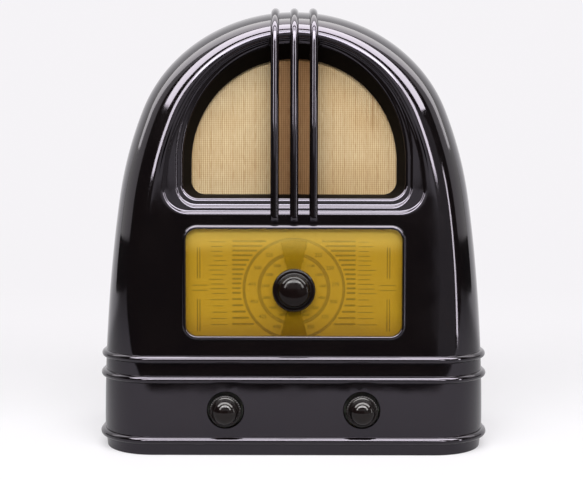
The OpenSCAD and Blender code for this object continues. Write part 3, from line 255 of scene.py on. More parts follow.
ARCH_R, ARCH_Z = 150, 254
SHOULDER_R, SHOULDER_ANGLE = 350, 22
FLANK_R, FLANK_ANGLE = 1470, 8
FRONT_Y, BODY_DEPTH, WALL = -104.0, 226, 4.5
FOOT_ROLL_W, SIDE_ROLL_W, TOP_ROLL_W = 50, 37, 30
SIDE_ROLL_D, TOP_ROLL_D = 56, 110
PLINTH_H, PANEL_BEAD_Z, UPPER_BEAD_Z = 13.5, 68, 86
BEAD_H, BEAD_PROUD, BEAD_ROOT, PLINTH_TAPER = 7, 4, 3, 2
FLOOR_Z, FLOOR_T = 4, 5
OPENING_R, OPENING_Z, OPENING_BOTTOM, OPENING_CORNER = 93, 261.5, 231.5, 12
REVEAL_D, SEAT_D, SEAT_W = 20, 24, 12
FLARE_TOP = OPENING_Z + OPENING_R * 0.55
RIB_PITCH, RIB_W, RIB_PROUD, RIB_ROOT, RIB_BAR_D = 17.2, 7.5, 3.5, 2, 13
RIB_FOOT_Z, RIB_REACH, RIB_BOW = 208.5, 14, 2.5
WINDOW_HW, WINDOW_Z0, WINDOW_Z1, WINDOW_R = 95.5, 107, 202, 10
FRAME_W, FRAME_PROUD, FRAME_ROOT = 3.6, 2, 1.2
KNOB_X, KNOB_Z, KNOB_HOLE_R, TUNING_Z = 60.5, 41, 15.8, 148
# How many steps each part of a ring takes, and how many rings the roll of the front
N_BOTTOM, N_CORNER, N_SIDE, N_TOP, N_ROLL = 12, 24, 12, 72, 36


def smooth(u):
    u = max(0.0, min(1.0, u))
    return u * u * (3 - 2 * u)


def on_arc(centre, r, angle):
    a = radians(angle)
    return (centre[0] + r * cos(a), centre[1] + r * sin(a))


SHOULDER_C = on_arc((0, ARCH_Z), ARCH_R - SHOULDER_R, SHOULDER_ANGLE)
FLANK_C = on_arc(SHOULDER_C, SHOULDER_R - FLANK_R, FLANK_ANGLE)


def arch_point(a, off):
    if a <= FLANK_ANGLE:
        return on_arc(FLANK_C, FLANK_R + off, a)
    if a <= SHOULDER_ANGLE:
        return on_arc(SHOULDER_C, SHOULDER_R + off, a)
    return on_arc((0, ARCH_Z), ARCH_R + off, a)


def foot_angle(off, z):
    return degrees(asin((z - FLANK_C[1]) / (FLANK_R + off)))


def roll_w(a):
    if a <= FLANK_ANGLE:
        return lerp(FOOT_ROLL_W, SIDE_ROLL_W, smooth(a / FLANK_ANGLE))
    return lerp(SIDE_ROLL_W, TOP_ROLL_W, smooth((a - FLANK_ANGLE) / (90 - FLANK_ANGLE)))


def roll_d(a):
    return lerp(SIDE_ROLL_D, TOP_ROLL_D, smooth((a - SHOULDER_ANGLE) / (90 - SHOULDER_ANGLE)))


def arch_angles(z, off):
    foot = foot_angle(off, z)
    return ([lerp(foot, FLANK_ANGLE, i / N_CORNER) for i in range(N_CORNER + 1)]
            + [lerp(FLANK_ANGLE, SHOULDER_ANGLE, i / N_SIDE) for i in range(1, N_SIDE + 1)]
            + [lerp(SHOULDER_ANGLE, 90, i / N_TOP) for i in range(1, N_TOP + 1)])


def both_sides(half):
    """Closes half an outline of (x, depth, z), which runs from the middle below to the crown."""
    return half + [(-x, d, z) for x, d, z in half[-2:0:-1]]


def in_frame(points):
    return [(x, FRONT_Y + d, z) for x, d, z in points]


def skin_ring(turn, skin, z):
    """A ring of the cabinet's skin: it rolls over by a quarter turn from the front to the sides."""
    s, c = sin(turn), cos(turn)
    angles = arch_angles(z, -skin - (FOOT_ROLL_W - skin) * (1 - s))
    arch = [arch_point(a, -skin - (roll_w(a) - skin) * (1 - s)) for a in angles]
    depths = [skin + (roll_d(a) - skin) * (1 - c) for a in arch_angles(z, 0)]
    half = [(arch[0][0] * i / N_BOTTOM, depths[0], z) for i in range(N_BOTTOM)]
    half += [(p[0], d, z if i == 0 else p[1]) for i, (p, d) in enumerate(zip(arch, depths))]
    return in_frame(both_sides(half))


def back_ring(skin, z, d):
    return [(x, FRONT_Y + d, h) for x, _, h in skin_ring(pi / 2, skin, z)]


def opening_ring(side, top, bottom, corner, flare, d):
    """A ring that follows the speaker opening, grown by side, top, bottom and corner."""
    hw, z0, corner = OPENING_R + side, OPENING_BOTTOM - bottom, OPENING_CORNER + corner
    half = [((hw - corner) * i / N_BOTTOM, z0) for i in range(N_BOTTOM)]
    half += [(hw - corner + corner * sin(a), z0 + corner - corner * cos(a)) for a in quarter(N_CORNER)]
    half += [(hw, lerp(z0 + corner, OPENING_Z, i / N_SIDE)) for i in range(1, N_SIDE + 1)]
    half += [(hw * cos(a), OPENING_Z + (OPENING_R + top) * sin(a)) for a in quarter(N_TOP)[1:]]
    shares = [smooth((FLARE_TOP - z) / (FLARE_TOP - OPENING_BOTTOM)) for _, z in half]
    return in_frame(both_sides([(x * (1 + flare / hw * s), d, z) for (x, z), s in zip(half, shares)]))


# The steps round the opening: growth at the side, top, bottom and corner, flare and depth
SURROUND = [(-1, -1, -1, 0, 0, REVEAL_D), (4.5, 10, 1.5, 1, 0, 6), (6.5, 12.5, 3.5, 2, 0, 3.6),
            (10, 14, 8.5, 5, 0, 3.2), (11.5, 15, 10.5, 6, 0, 1.8), (12.5, 15.7, 14, 8, 8, 1.5),
            (14, 16.5, 16, 9, 9, 0), (17, 19, 19, 11, 10, 0)]


def rounded_rows(rows, times, share):
    """Cuts the corners of a row of steps, which rounds them as a mould does."""
    for _ in range(times):
        cut = [rows[0]]
        for a, b in zip(rows, rows[1:]):
            cut += [tuple(lerp(p, q, u) for p, q in zip(a, b)) for u in (share, 1 - share)]
        rows = cut + [rows[-1]]
    return rows


def ring_solid(rings, looped=False):
    """A closed skin through rings of equally many points, with caps or back to the first ring."""
    n, count = len(rings[0]), len(rings)
    points = [p for ring in rings for p in ring]
    faces = [(k * n + i, k * n + (i + 1) % n, (k + 1) % count * n + (i + 1) % n, (k + 1) % count * n + i)
             for k in range(count if looped else count - 1) for i in range(n)]
    if not looped:
        faces += [tuple(range(n - 1, -1, -1)), tuple(range((count - 1) * n, count * n))]
    return points, faces


def evaluated_mesh(obj):
    graph = bpy.context.evaluated_depsgraph_get()
    return bpy.data.meshes.new_from_object(obj.evaluated_get(graph))


def cut_with(obj, others, operation="DIFFERENCE"):
    """Cuts solids out of obj, or joins them to it, and removes them."""
    for other in others:
        change = obj.modifiers.new("cut", "BOOLEAN")
        change.operation, change.solver, change.object = operation, "MANIFOLD", other
    mesh = evaluated_mesh(obj)
    obj.modifiers.clear()
    obj.data = mesh
    for other in others:
        bpy.data.objects.remove(other)


def moulded(name, rings):
    return mesh_object(name, *ring_solid(rings), black_bakelite)


def circle(radius, count):
    turns = [2 * pi * i / count for i in range(count)]
    return [(radius * cos(a), radius * sin(a)) for a in turns]


def turned(name, profile, centre, material, segments=96, axis="Y", looped=False):
    """Turns a profile of (radius, height) round an axis through centre."""
    x, y, z = centre
    if axis == "Y":
        rings = [[(x + u, y + h, z - v) for u, v in circle(r, segments)] for r, h in profile]
    else:
        rings = [[(x + u, y + v, z + h) for u, v in circle(r, segments)] for r, h in profile]
    return mesh_object(name, *ring_solid(rings, looped), material)


def window_ring(grow, d):
    """A ring round the dial window, grown by grow, at depth d."""
    hw, hh, r = WINDOW_HW + grow, (WINDOW_Z1 - WINDOW_Z0) / 2 + grow, WINDOW_R + grow
    ring = []
    for cx, cz, start in ((1, 1, 0), (-1, 1, 90), (-1, -1, 180), (1, -1, 270)):
        for i in range(N_SIDE + 1):
            a = radians(start + 90 * i / N_SIDE)
            ring.append((cx * (hw - r) + r * cos(a), FRONT_Y + d,
                         (WINDOW_Z0 + WINDOW_Z1) / 2 + cz * (hh - r) + r * sin(a)))
    return ring


def plan_ring(z, plan_z, grow):
    """The base's plan at height plan_z, laid at height z: elliptical front corners, straight sides."""
    x = arch_point(foot_angle(0, plan_z), grow)[0]
    w, d = FOOT_ROLL_W + grow, SIDE_ROLL_D + grow
    half = [((x - w) * i / 8, -grow) for i in range(8)]
    half += [(x - w + w * sin(a), -grow + d * (1 - cos(a))) for a in quarter(N_ROLL)]
    half += [(x, lerp(d, BODY_DEPTH, i / 6)) for i in range(1, 7)]
    return [(x, FRONT_Y + d, z) for x, d in half] + [(-x, FRONT_Y + d, z) for x, d in half[:0:-1]]


HALF_ROUND = [radians(-90 + 180 * i / 16) for i in range(17)]


def band(z):
    """A half-round bead of the moulding that follows the base's plan at height z."""
    inner = plan_ring(z, z, -BEAD_ROOT)
    rings = [[(x, y, z - BEAD_H / 2) for x, y, _ in inner]]
    rings += [plan_ring(z + BEAD_H / 2 * sin(a), z, BEAD_PROUD * cos(a)) for a in HALF_ROUND]
    rings.append([(x, y, z + BEAD_H / 2) for x, y, _ in inner])
    return moulded("band", rings)


def rib(x):
    """A half-round rib up the front, over the opening as a bar, and back over the crown."""
    path = [(RIB_FOOT_Z + up, 0, lift) for up, lift in ((0, 0.1), (1, 0.55), (2.5, 0.88), (5, 1))]
    low, high = OPENING_BOTTOM - RIB_REACH, OPENING_Z + OPENING_R + RIB_REACH
    path += [(lerp(low, high, i / 48), -RIB_BOW * sin(pi * i / 48), 1) for i in range(49)]
    path += [(ARCH_Z + ARCH_R - TOP_ROLL_W * (1 - sin(a)), TOP_ROLL_D * (1 - cos(a)), 1)
             for a in quarter(30)[2:]]
    path += [(ARCH_Z + ARCH_R, lerp(TOP_ROLL_D, BODY_DEPTH, u), 1) for u in (0.2, 0.6, 1)]
    rings = []
    for i, (z, d, lift) in enumerate(path):
        before, after = path[max(0, i - 1)], path[min(len(path) - 1, i + 1)]
        along = Vector((after[0] - before[0], after[1] - before[1])).normalized()
        out_z, out_d = along[1], -along[0]
        over = OPENING_BOTTOM - SEAT_W / 2 < z < OPENING_Z + OPENING_R + SEAT_W / 2
        deep = RIB_BAR_D if over else RIB_ROOT
        ring = [(x - RIB_W / 2, FRONT_Y + d - out_d * deep, z - out_z * deep)]
        for a in HALF_ROUND:
            up = RIB_PROUD * lift * cos(a)
            ring.append((x + RIB_W / 2 * sin(a), FRONT_Y + d + out_d * up, z + out_z * up))
        ring.append((x + RIB_W / 2, FRONT_Y + d - out_d * deep, z - out_z * deep))
        rings.append(ring[::-1])
    return moulded("rib", rings)


outer_rings = [opening_ring(*row) for row in rounded_rows(SURROUND, 3, 0.22)]
outer_rings += [skin_ring(turn, 0, PLINTH_H) for turn in quarter(N_ROLL)]
outer_rings += [back_ring(0, PLINTH_H, lerp(TOP_ROLL_D, BODY_DEPTH, u)) for u in (0.15, 0.5, 1)]
cabinet = mesh_object("cabinet_moulding", *ring_solid(outer_rings), black_bakelite)

plinth_rows = ((0, -PLINTH_TAPER - 0.8), (0.25, -PLINTH_TAPER - 0.25), (0.8, -PLINTH_TAPER + 0.1),
               (PLINTH_H - 1.5, -0.7), (PLINTH_H + 1, -0.5))
plinth = moulded("plinth", [plan_ring(z, PLINTH_H, grow) for z, grow in plinth_rows])
bead_rows = [window_ring(-FRAME_ROOT, -FRAME_PROUD * 0.2)]
for i in range(1, 13):
    proud = FRAME_PROUD * max(0, sin(radians(180 * i / 12))) ** 0.7
    bead_rows.append(window_ring(lerp(-FRAME_ROOT, FRAME_W, i / 12), -proud))
window_bead = moulded("window_bead", bead_rows + [window_ring(FRAME_W, 1)])
bands = [band(z) for z in (PLINTH_H, PANEL_BEAD_Z, UPPER_BEAD_Z)]
cut_with(cabinet, [plinth, window_bead] + bands, "UNION")

# Inside are bosses for the dial's screws, lugs for the back cover, and pads for the chassis
BOSS_R, BOSS_LEN, BOSS_OUT, BOSS_IN = 4.5, 13, 11, 12
LUG_LEN, LUG_W, COVER_D = 14, 9, 218
PAD_R, PAD_TOP, BOLT_HOLE_R = 9, 8, 2.9
FLOOR_TOP = FLOOR_Z + FLOOR_T
DIAL_SCREWS = [(x * (WINDOW_HW + BOSS_OUT), FRONT_Y, z)
               for x in (-1, 1) for z in (WINDOW_Z0 + BOSS_IN, WINDOW_Z1 - BOSS_IN)]
LUGS = [(side * x, FRONT_Y + COVER_D, z) for side, a in ((-1, 5), (1, 5), (-1, 38), (1, 38), (1, 90))
        for x, z in [arch_point(a, -WALL - LUG_W / 2)]]
CHASSIS_BOLTS = [(x, FRONT_Y + d, FLOOR_Z) for x in (-128, 128) for d in (42, 178)]
KNOB_HOLES = [(x, FRONT_Y, KNOB_Z) for x in (-KNOB_X, KNOB_X)]


def posts(name, profile, centres, segments=24, axis="Y"):
    return [turned(name, profile, centre, black_bakelite, segments, axis) for centre in centres]


hollow = moulded("hollow", [skin_ring(turn, WALL, FLOOR_TOP) for turn in quarter(6)]
                 + [back_ring(WALL, FLOOR_TOP, BODY_DEPTH + 1)])
seat_rows = ((SEAT_W + 4, -1), (SEAT_W + 4, WALL + 1), (SEAT_W, SEAT_D))
seat = moulded("seat", [opening_ring(g, g, g, g, 0, d) for g, d in seat_rows])
bosses = posts("boss", [(BOSS_R, 0), (BOSS_R, BOSS_LEN)], DIAL_SCREWS)
lugs = posts("lug", [(1, -LUG_LEN - 8), (LUG_W / 2 + 2, -LUG_LEN), (LUG_W / 2 + 2, 0)], LUGS)
pads = posts("pad", [(PAD_R, -3), (PAD_R, PAD_TOP), (PAD_R - 2, PAD_TOP + 0.02)], CHASSIS_BOLTS, 32, "Z")
cut_with(hollow, [seat] + bosses + lugs + pads)

# The opening and the dial window go right through, and so do the knobs' holes, which have a rounded lip
shaft = moulded("shaft", [opening_ring(-0.9, -0.9, -0.9, 0, 0, d) for d in (-9, SEAT_D + 1)])
window = moulded("window", [window_ring(0.05, d)[::-1] for d in (-FRAME_PROUD - 2, WALL + 3)])
lip = ((2, -4), (2, -0.6), (1.2, -0.02), (0.5, 0.25), (0.15, 0.6), (0, 1.2), (0, WALL + 4))
knob_holes = posts("knob_hole", [(KNOB_HOLE_R + grow, d) for grow, d in lip], KNOB_HOLES, 96)
bolt_holes = posts("bolt_hole", [(BOLT_HOLE_R, -6), (BOLT_HOLE_R, 12)], CHASSIS_BOLTS, 24, "Z")
under = moulded("under", [plan_ring(z, PLINTH_H, -WALL - PLINTH_TAPER) for z in (-1, FLOOR_Z)])
cut_with(cabinet, [hollow, shaft, window, under] + knob_holes + bolt_holes)
cut_with(cabinet, [rib(i * RIB_PITCH) for i in (-1, 0, 1)], "UNION")
shade_smooth(cabinet.data, 30)
cabinet.modifiers.new("even_shading", "WEIGHTED_NORMAL").keep_sharp = True

# Buffing wheels don't reach into the opening, so the walls of its reveal are matt. Their colour is also
# painted darker than the rest of the moulding, as painted shade of the recess.
matt_shaded_bakelite, tree = empty_material("unpolished_bakelite_painted_shade")
place = add(tree, "TexCoord").outputs["Object"]
dust = add(tree, "TexNoise", {"Vector": place, "Scale": 120, "Detail": 3})
# These darker colours are painted shade of the reveal, under the random tone
colour = add(tree, "Mix", {0: dust, 6: "030201", 7: "090504"}, data_type="RGBA")
shader = add(tree, "BsdfPrincipled",
             {"Base Color": colour, "Roughness": 0.6, "IOR": BAKELITE_IOR, "Specular IOR Level": 0.03})
add(tree, "OutputMaterial", {"Surface": shader})
cabinet.data.materials.append(matt_shaded_bakelite)
REVEAL_FROM_D, REVEAL_W, REVEAL_UNDER, REVEAL_R = 5.5, OPENING_R + 9, 3, OPENING_R + 13
for face in cabinet.data.polygons:
    c = face.center / MM
    in_depth = FRONT_Y + REVEAL_FROM_D < c.y < FRONT_Y + SEAT_D + 1
    in_height = OPENING_BOTTOM - REVEAL_UNDER < c.z < OPENING_Z + REVEAL_R
    in_arch = Vector((c.x, c.z - OPENING_Z)).length < REVEAL_R
    if in_depth and in_height and in_arch and abs(c.x) < REVEAL_W and abs(face.normal.y) < 0.9:
        face.material_index = 1
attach(cabinet, "root")
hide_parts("cabinet")


# Speaker cloth: tan cotton and rayon, woven with thick uneven threads that run upwards, stretched
# over the front of the board behind the opening. It is slubby, a little faded and has one stain.
speaker_cloth, tree = empty_material("woven_speaker_cloth")
place = add(tree, "TexCoord").outputs["Object"]
# The bands of a wave texture lie WAVE / scale apart. The real threads lie 0.6 mm apart, which is
# under a pixel, so they are drawn 1.9 mm apart.
WAVE = 0.31416
drift = add(tree, "Mapping", {"Vector": place, "Scale": (700, 1, 110)})
slubs = add(tree, "TexNoise", {"Vector": drift, "Scale": 1, "Detail": 3, "Roughness": 0.6})
warp = add(tree, "TexWave", {"Vector": place, "Scale": WAVE / (1.9 * MM), "Distortion": 0.8,
                             "Detail": 2, "Detail Scale": 0.25}, bands_direction="X")
weft = add(tree, "TexWave", {"Vector": place, "Scale": WAVE / (1.7 * MM), "Distortion": 0.6,
                             "Detail": 1, "Detail Scale": 0.3}, bands_direction="Z")
# Every 10 mm one warp thread is darker
stripe = add(tree, "TexWave", {"Vector": place, "Scale": WAVE / (10 * MM), "Distortion": 0.5,
                               "Detail": 1, "Detail Scale": 0.1}, bands_direction="X")
stripe_line = add(tree, "MapRange", {"Value": stripe.outputs["Fac"], "From Min": 0.9, "From Max": 1,
                                     "To Min": 0, "To Max": 0.42})
fading = add(tree, "TexNoise", {"Vector": place, "Scale": 14, "Detail": 2})
thread = add(tree, "Math", {0: warp.outputs["Fac"], 1: 0.36, 2: 0.15}, operation="MULTIPLY_ADD")
thread = add(tree, "Math", {0: weft.outputs["Fac"], 1: 0.2, 2: thread}, operation="MULTIPLY_ADD")
thread = add(tree, "Math", {0: slubs, 1: 0.42, 2: thread}, operation="MULTIPLY_ADD")
lit = add(tree, "MapRange", {"Value": thread, "From Min": 0.3, "From Max": 1})
tan = add(tree, "Mix", {0: lit, 6: "9b835c", 7: "cfc4a6"}, data_type="RGBA")
broken = add(tree, "MapRange", {"Value": slubs, "From Min": 0.62, "From Max": 0.42})
broken = add(tree, "Math", {0: broken, 1: stripe_line}, operation="MULTIPLY")
striped = add(tree, "Mix", {0: broken, 6: tan, 7: "94774d"}, data_type="RGBA")
faded = add(tree, "Mix", {0: fading, 6: striped, 7: "cdaf83"}, data_type="RGBA", blend_type="MULTIPLY")
parts = add(tree, "SeparateXYZ", {0: place})
# Painted shade of the ribs, together with dust, darkens and browns the cloth behind the ribs
off_middle = add(tree, "Math", {0: parts.outputs["X"]}, operation="ABSOLUTE")
rib_shade_and_dust = add(tree, "MapRange", {"Value": off_middle, "From Min": 23 * MM, "From Max": 19 * MM},
              interpolation_type="SMOOTHSTEP")
faded = add(tree, "Mix", {0: rib_shade_and_dust, 6: faded, 7: "e6c8b1"}, data_type="RGBA", blend_type="MULTIPLY")
# The stain is a run 50 mm long and 3 mm wide, right of the ribs
STAIN_X, STAIN_FROM_Z, STAIN_TO_Z = 70.5 * MM, 278 * MM, 330 * MM
off_line = add(tree, "Math", {0: parts.outputs["X"], 1: STAIN_X}, operation="SUBTRACT")
off_line = add(tree, "Math", {0: off_line}, operation="ABSOLUTE")
near_line = add(tree, "MapRange", {"Value": off_line, "From Min": 0.4 * MM, "From Max": 1.8 * MM,
                                   "To Min": 1, "To Max": 0})
above = add(tree, "MapRange",
            {"Value": parts.outputs["Z"], "From Min": STAIN_FROM_Z, "From Max": 296 * MM})
below = add(tree, "MapRange", {"Value": parts.outputs["Z"], "From Min": 322 * MM, "From Max": STAIN_TO_Z,
                               "To Min": 0.55, "To Max": 0})
stain = add(tree, "Math", {0: near_line, 1: above}, operation="MULTIPLY")
stain = add(tree, "Math", {0: stain, 1: below}, operation="MULTIPLY")
stained = add(tree, "Mix", {0: stain, 6: faded, 7: "7a5730"}, data_type="RGBA")
weave = add(tree, "Bump", {"Height": thread, "Strength": 0.5, "Distance": 0.0006})
shader = add(tree, "BsdfPrincipled", {"Base Color": stained, "Roughness": 0.85, "Normal": weave,
                                      "Sheen Weight": 0.15, "Sheen Roughness": 0.5,
                                      "Specular IOR Level": 0.2})
add(tree, "OutputMaterial", {"Surface": shader})

CLOTH_LAP, CLOTH_T = SEAT_W - 2, 0.4
CLOTH_ROWS, CLOTH_COLUMNS = 56, 84
cloth_r, cloth_low = OPENING_R + CLOTH_LAP, OPENING_BOTTOM - CLOTH_LAP
cloth_high = OPENING_Z + cloth_r
cloth_points = []
for i in range(CLOTH_ROWS + 1):
    z = lerp(cloth_high - CLOTH_T, cloth_low, i / CLOTH_ROWS)
    if z > OPENING_Z:
        reach = cloth_r * sqrt(1 - ((z - OPENING_Z) / cloth_r) ** 2)
    else:
        corner = max(0, cloth_low + OPENING_CORNER - z)
        reach = cloth_r - OPENING_CORNER + sqrt(OPENING_CORNER ** 2 - corner ** 2)
    for k in range(CLOTH_COLUMNS + 1):
        x = lerp(-reach, reach, k / CLOTH_COLUMNS)
        # The pull of its edges leaves it a tenth of a millimetre out of flat
        pull = 0.12 * sin(x / 23) * cos(z / 31)
        cloth_points.append((x, FRONT_Y + SEAT_D + CLOTH_T + pull, z))
across = CLOTH_COLUMNS + 1
cloth_faces = [(i * across + k, i * across + k + 1, (i + 1) * across + k + 1, (i + 1) * across + k)
               for i in range(CLOTH_ROWS) for k in range(CLOTH_COLUMNS)]
cloth = mesh_object("cloth_panel", cloth_points, cloth_faces, speaker_cloth)
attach(cloth, "root")
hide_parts("speaker_cloth")


# Tuning knob and the two lower knobs: turned shapes moulded in the same black phenolic, handled
# bright, pushed on steel spindles and held by a grub screw through a hole in the rim.
knob_bakelite, tree = empty_material("knob_bakelite")
place = add(tree, "TexCoord").outputs["Object"]
# Fingers leave a bloom in patches of about 6 mm, and scratches 0.3 mm apart
bloom = add(tree, "TexNoise", {"Vector": place, "Scale": 160, "Detail": 4})
fine = add(tree, "TexNoise", {"Vector": place, "Scale": 3000, "Detail": 2})
colour = add(tree, "Mix", {0: bloom, 6: "0a0606", 7: "130c0b"}, data_type="RGBA")
handled = add(tree, "MapRange",
              {"Value": bloom, "From Min": 0.35, "From Max": 0.75, "To Min": 0.07, "To Max": 0.16})
scuffed = add(tree, "Bump", {"Height": fine, "Strength": 0.03, "Distance": 0.0003})
shader = add(tree, "BsdfPrincipled", {"Base Color": colour, "Roughness": handled, "IOR": BAKELITE_IOR,
                                      "Specular IOR Level": 0.14, "Normal": scuffed})
add(tree, "OutputMaterial", {"Surface": shader})

KNOB_R, KNOB_PROUD, TUNING_KNOB_R, TUNING_KNOB_PROUD = 14.3, 18, 19, 16
SPINDLE_R, SPINDLE_FRONT, GRUB_R, GRUB_D, KNOB_BACK = 3.175, 8, 1.3, -1.5, 1.5
RIDGES, RIDGE_DEPTH, RIDGE_STEPS = 40, 0.7, 8
TUNING_DOME_R, DOME_R = TUNING_KNOB_R - 5.5, KNOB_R - 3.6


def dome(radius, top, height):
    """A dome's profile, from its top in the middle out to its edge."""
    return [(0.01, top)] + [(radius * sin(a), top + height * (1 - cos(a))) for a in quarter(18)[1:-1]]


def ridged_ring(x, radius, d):
    """A ring of a lower knob's skirt, with shallow ridges all round."""
    ring = []
    for i in range(RIDGES * RIDGE_STEPS):
        a = 2 * pi * i / (RIDGES * RIDGE_STEPS)
        r = radius - RIDGE_DEPTH / 2 * (1 - cos(a * RIDGES))
        ring.append((x + r * cos(a), FRONT_Y + d, KNOB_Z - r * sin(a)))
    return ring


def bored_knob(knob, x, z, rim):
    """Bores a knob for its spindle from behind, and its rim for the grub screw."""
    bore = turned("bore", [(SPINDLE_R, -SPINDLE_FRONT - 2), (SPINDLE_R, KNOB_BACK + 1)],
                  (x, FRONT_Y, z), knob_bakelite, 48)
    screw_hole = turned("screw_hole", [(GRUB_R, 0), (GRUB_R, rim + 1)],
                        (x, FRONT_Y + GRUB_D, z), knob_bakelite, 24, axis="Z")
    cut_with(knob, [bore, screw_hole])
    shade_smooth(knob.data, 35)


r = TUNING_KNOB_R
rim = [(TUNING_DOME_R, -11), (r - 4.6, -6.5), (r - 4.2, -5), (r - 1.6, -5), (r - 0.5, -4.4), (r, -3.2),
       (r, KNOB_BACK - 1.5), (r - 1.5, KNOB_BACK), (0.4, KNOB_BACK)]
rim = rounded_rows(rim, 2, 0.2)
tuning_knob = turned("tuning_knob_cap", dome(TUNING_DOME_R, -TUNING_KNOB_PROUD, 5) + rim,
                     (0, FRONT_Y, TUNING_Z), knob_bakelite, 128)
bored_knob(tuning_knob, 0, TUNING_Z, r)
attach(tuning_knob, "tuning")
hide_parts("tuning_knob")

# The lower knobs are handled less than the tuning knob, so they have kept more of their gloss
glossy_bakelite = knob_bakelite.copy()
glossy_bakelite.name = "less_worn_knob_bakelite"
glossy_bakelite.node_tree.nodes["Principled BSDF"].inputs["Specular IOR Level"].default_value = 0.24
r = KNOB_R
neck = rounded_rows([(DOME_R, -12), (r - 3, -8), (r - 1.6, -7), (r - 1.6, 0), (0.4, 0)], 2, 0.2)
skirt = ((-1.5, -7), (-0.7, -6.9), (-0.25, -6.6), (0, -6), (0, 0.5), (-0.3, 1.2), (-0.8, KNOB_BACK))
for x, name, body in ((-KNOB_X, "volume_knob", "volume"), (KNOB_X, "wave_knob", "wave_change")):
    profile = dome(DOME_R, -KNOB_PROUD, 6) + neck
    cap = turned(name + "_cap", profile, (x, FRONT_Y, KNOB_Z), glossy_bakelite)
    cut_with(cap, [moulded("skirt", [ridged_ring(x, r + grow, d) for grow, d in skirt])], "UNION")
    bored_knob(cap, x, KNOB_Z, r)
    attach(cap, body)
    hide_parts(name)


# Dial: a printed card stands in front of a steel plate, behind a window of celluloid that was clear
# when new and has turned amber. Four steel screws hold the plate, and two small lamps light the card.
def dress(material, *nodes):
    """Gives CAD nodes their finish. Their shapes stay as they are."""
    for node in nodes:
        for place_in_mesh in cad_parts[node].material_slots:
            place_in_mesh.material = material


def worn_surface(name, dark, light, patch_mm, grain_mm, rough, bump, stretch=(1, 1, 1),
                 metallic=0, ior=1.45, alpha=1):
    """A finish with patches of wear, and over them a fine grain that may be drawn out one way."""
    material, tree = empty_material(name)
    place = add(tree, "TexCoord").outputs["Object"]
    patches = add(tree, "TexNoise", {"Vector": place, "Scale": 1 / (patch_mm * MM), "Detail": 4})
    drawn_out = add(tree, "Mapping", {"Vector": place, "Scale": stretch})
    grain = add(tree, "TexNoise", {"Vector": drawn_out, "Scale": 1 / (grain_mm * MM), "Detail": 2})
    blend = add(tree, "Math", {0: patches, 1: 0.7, 2: -0.1}, operation="MULTIPLY_ADD")
    blend = add(tree, "Math", {0: grain, 1: 0.5, 2: blend}, operation="MULTIPLY_ADD", use_clamp=True)
    colour = add(tree, "Mix", {0: blend, 6: dark, 7: light}, data_type="RGBA")
    dulled = add(tree, "MapRange", {"Value": patches, "From Min": 0.3, "From Max": 0.7,
                                    "To Min": rough[0], "To Max": rough[1]})
    relief = add(tree, "Bump", {"Height": grain, "Strength": bump, "Distance": grain_mm * MM})
    shader = add(tree, "BsdfPrincipled", {"Base Color": colour, "Roughness": dulled, "Metallic": metallic,
                                          "IOR": ior, "Alpha": alpha, "Normal": relief})
    add(tree, "OutputMaterial", {"Surface": shader})
    return material


# Old card: matt and ochre, foxed in patches of 25 mm, with a paper grain of half a millimetre
dress(worn_surface("aged_dial_card", "a07f1a", "b89720", 25, 0.5, (0.6, 0.75), 0.05), "dial_scale")

# Amber celluloid: glossy, and it lets two thirds of the card through. Along the top it is painted paler,
# as painted reflection and light that offsets the shade the window's bead casts there. It is darker
# towards the bottom, in clouds some 60 mm wide.
amber_celluloid, tree = empty_material("amber_celluloid")
place = add(tree, "TexCoord").outputs["Object"]
height = add(tree, "SeparateXYZ", {0: place}).outputs["Z"]
# Painted light: the top of the window is mixed towards a pale amber
painted_top_light = add(tree, "MapRange", {"Value": height, "From Min": 176 * MM, "From Max": 204 * MM},
           interpolation_type="SMOOTHSTEP")
low_down = add(tree, "MapRange", {"Value": height, "From Min": 132 * MM, "From Max": 105 * MM},
               interpolation_type="SMOOTHSTEP")
clouds = add(tree, "TexNoise", {"Vector": place, "Scale": 17, "Detail": 3})
amber = add(tree, "Mix", {0: clouds, 6: "967008", 7: "ad880c"}, data_type="RGBA")
amber = add(tree, "Mix", {0: painted_top_light, 6: amber, 7: "f2cf60"}, data_type="RGBA")
amber = add(tree, "Mix", {0: low_down, 6: amber, 7: "8a640a"}, data_type="RGBA")
shader = add(tree, "BsdfPrincipled", {"Base Color": amber, "Roughness": 0.08, "IOR": 1.5, "Alpha": 0.32})
add(tree, "OutputMaterial", {"Surface": shader})
dress(amber_celluloid, "dial_window")

# Printer's ink soaks into card, so it is matt; the bold marks are olive brown and the fine ones paler
bold_ink = worn_surface("olive_brown_ink", "1a1202", "281c05", 3, 0.4, (0.7, 0.8), 0.02)
pale_ink = worn_surface("pale_olive_ink", "32250a", "42320d", 3, 0.4, (0.7, 0.8), 0.02)
CARD_D, INK_T = 12, 0.08
ink_y = FRONT_Y + CARD_D - INK_T


def ink_bar(x0, x1, z, high):
    """A flat bar of print from x0 to x1, with its middle at z."""
    corners = ((x0, z - high / 2), (x1, z - high / 2), (x1, z + high / 2), (x0, z + high / 2))
    return [(x, ink_y, h) for x, h in corners], [(0, 1, 2, 3)]


def ink_circle(inner, outer, steps=120):
    pairs = zip(circle(inner, steps), circle(outer, steps))
    points = [(u, ink_y, TUNING_Z + v) for pair in pairs for u, v in pair]
    faces = [(2 * i, 2 * i + 1, 2 * k + 1, 2 * k) for i, k in zip(range(steps), [*range(1, steps), 0])]
    return points, faces


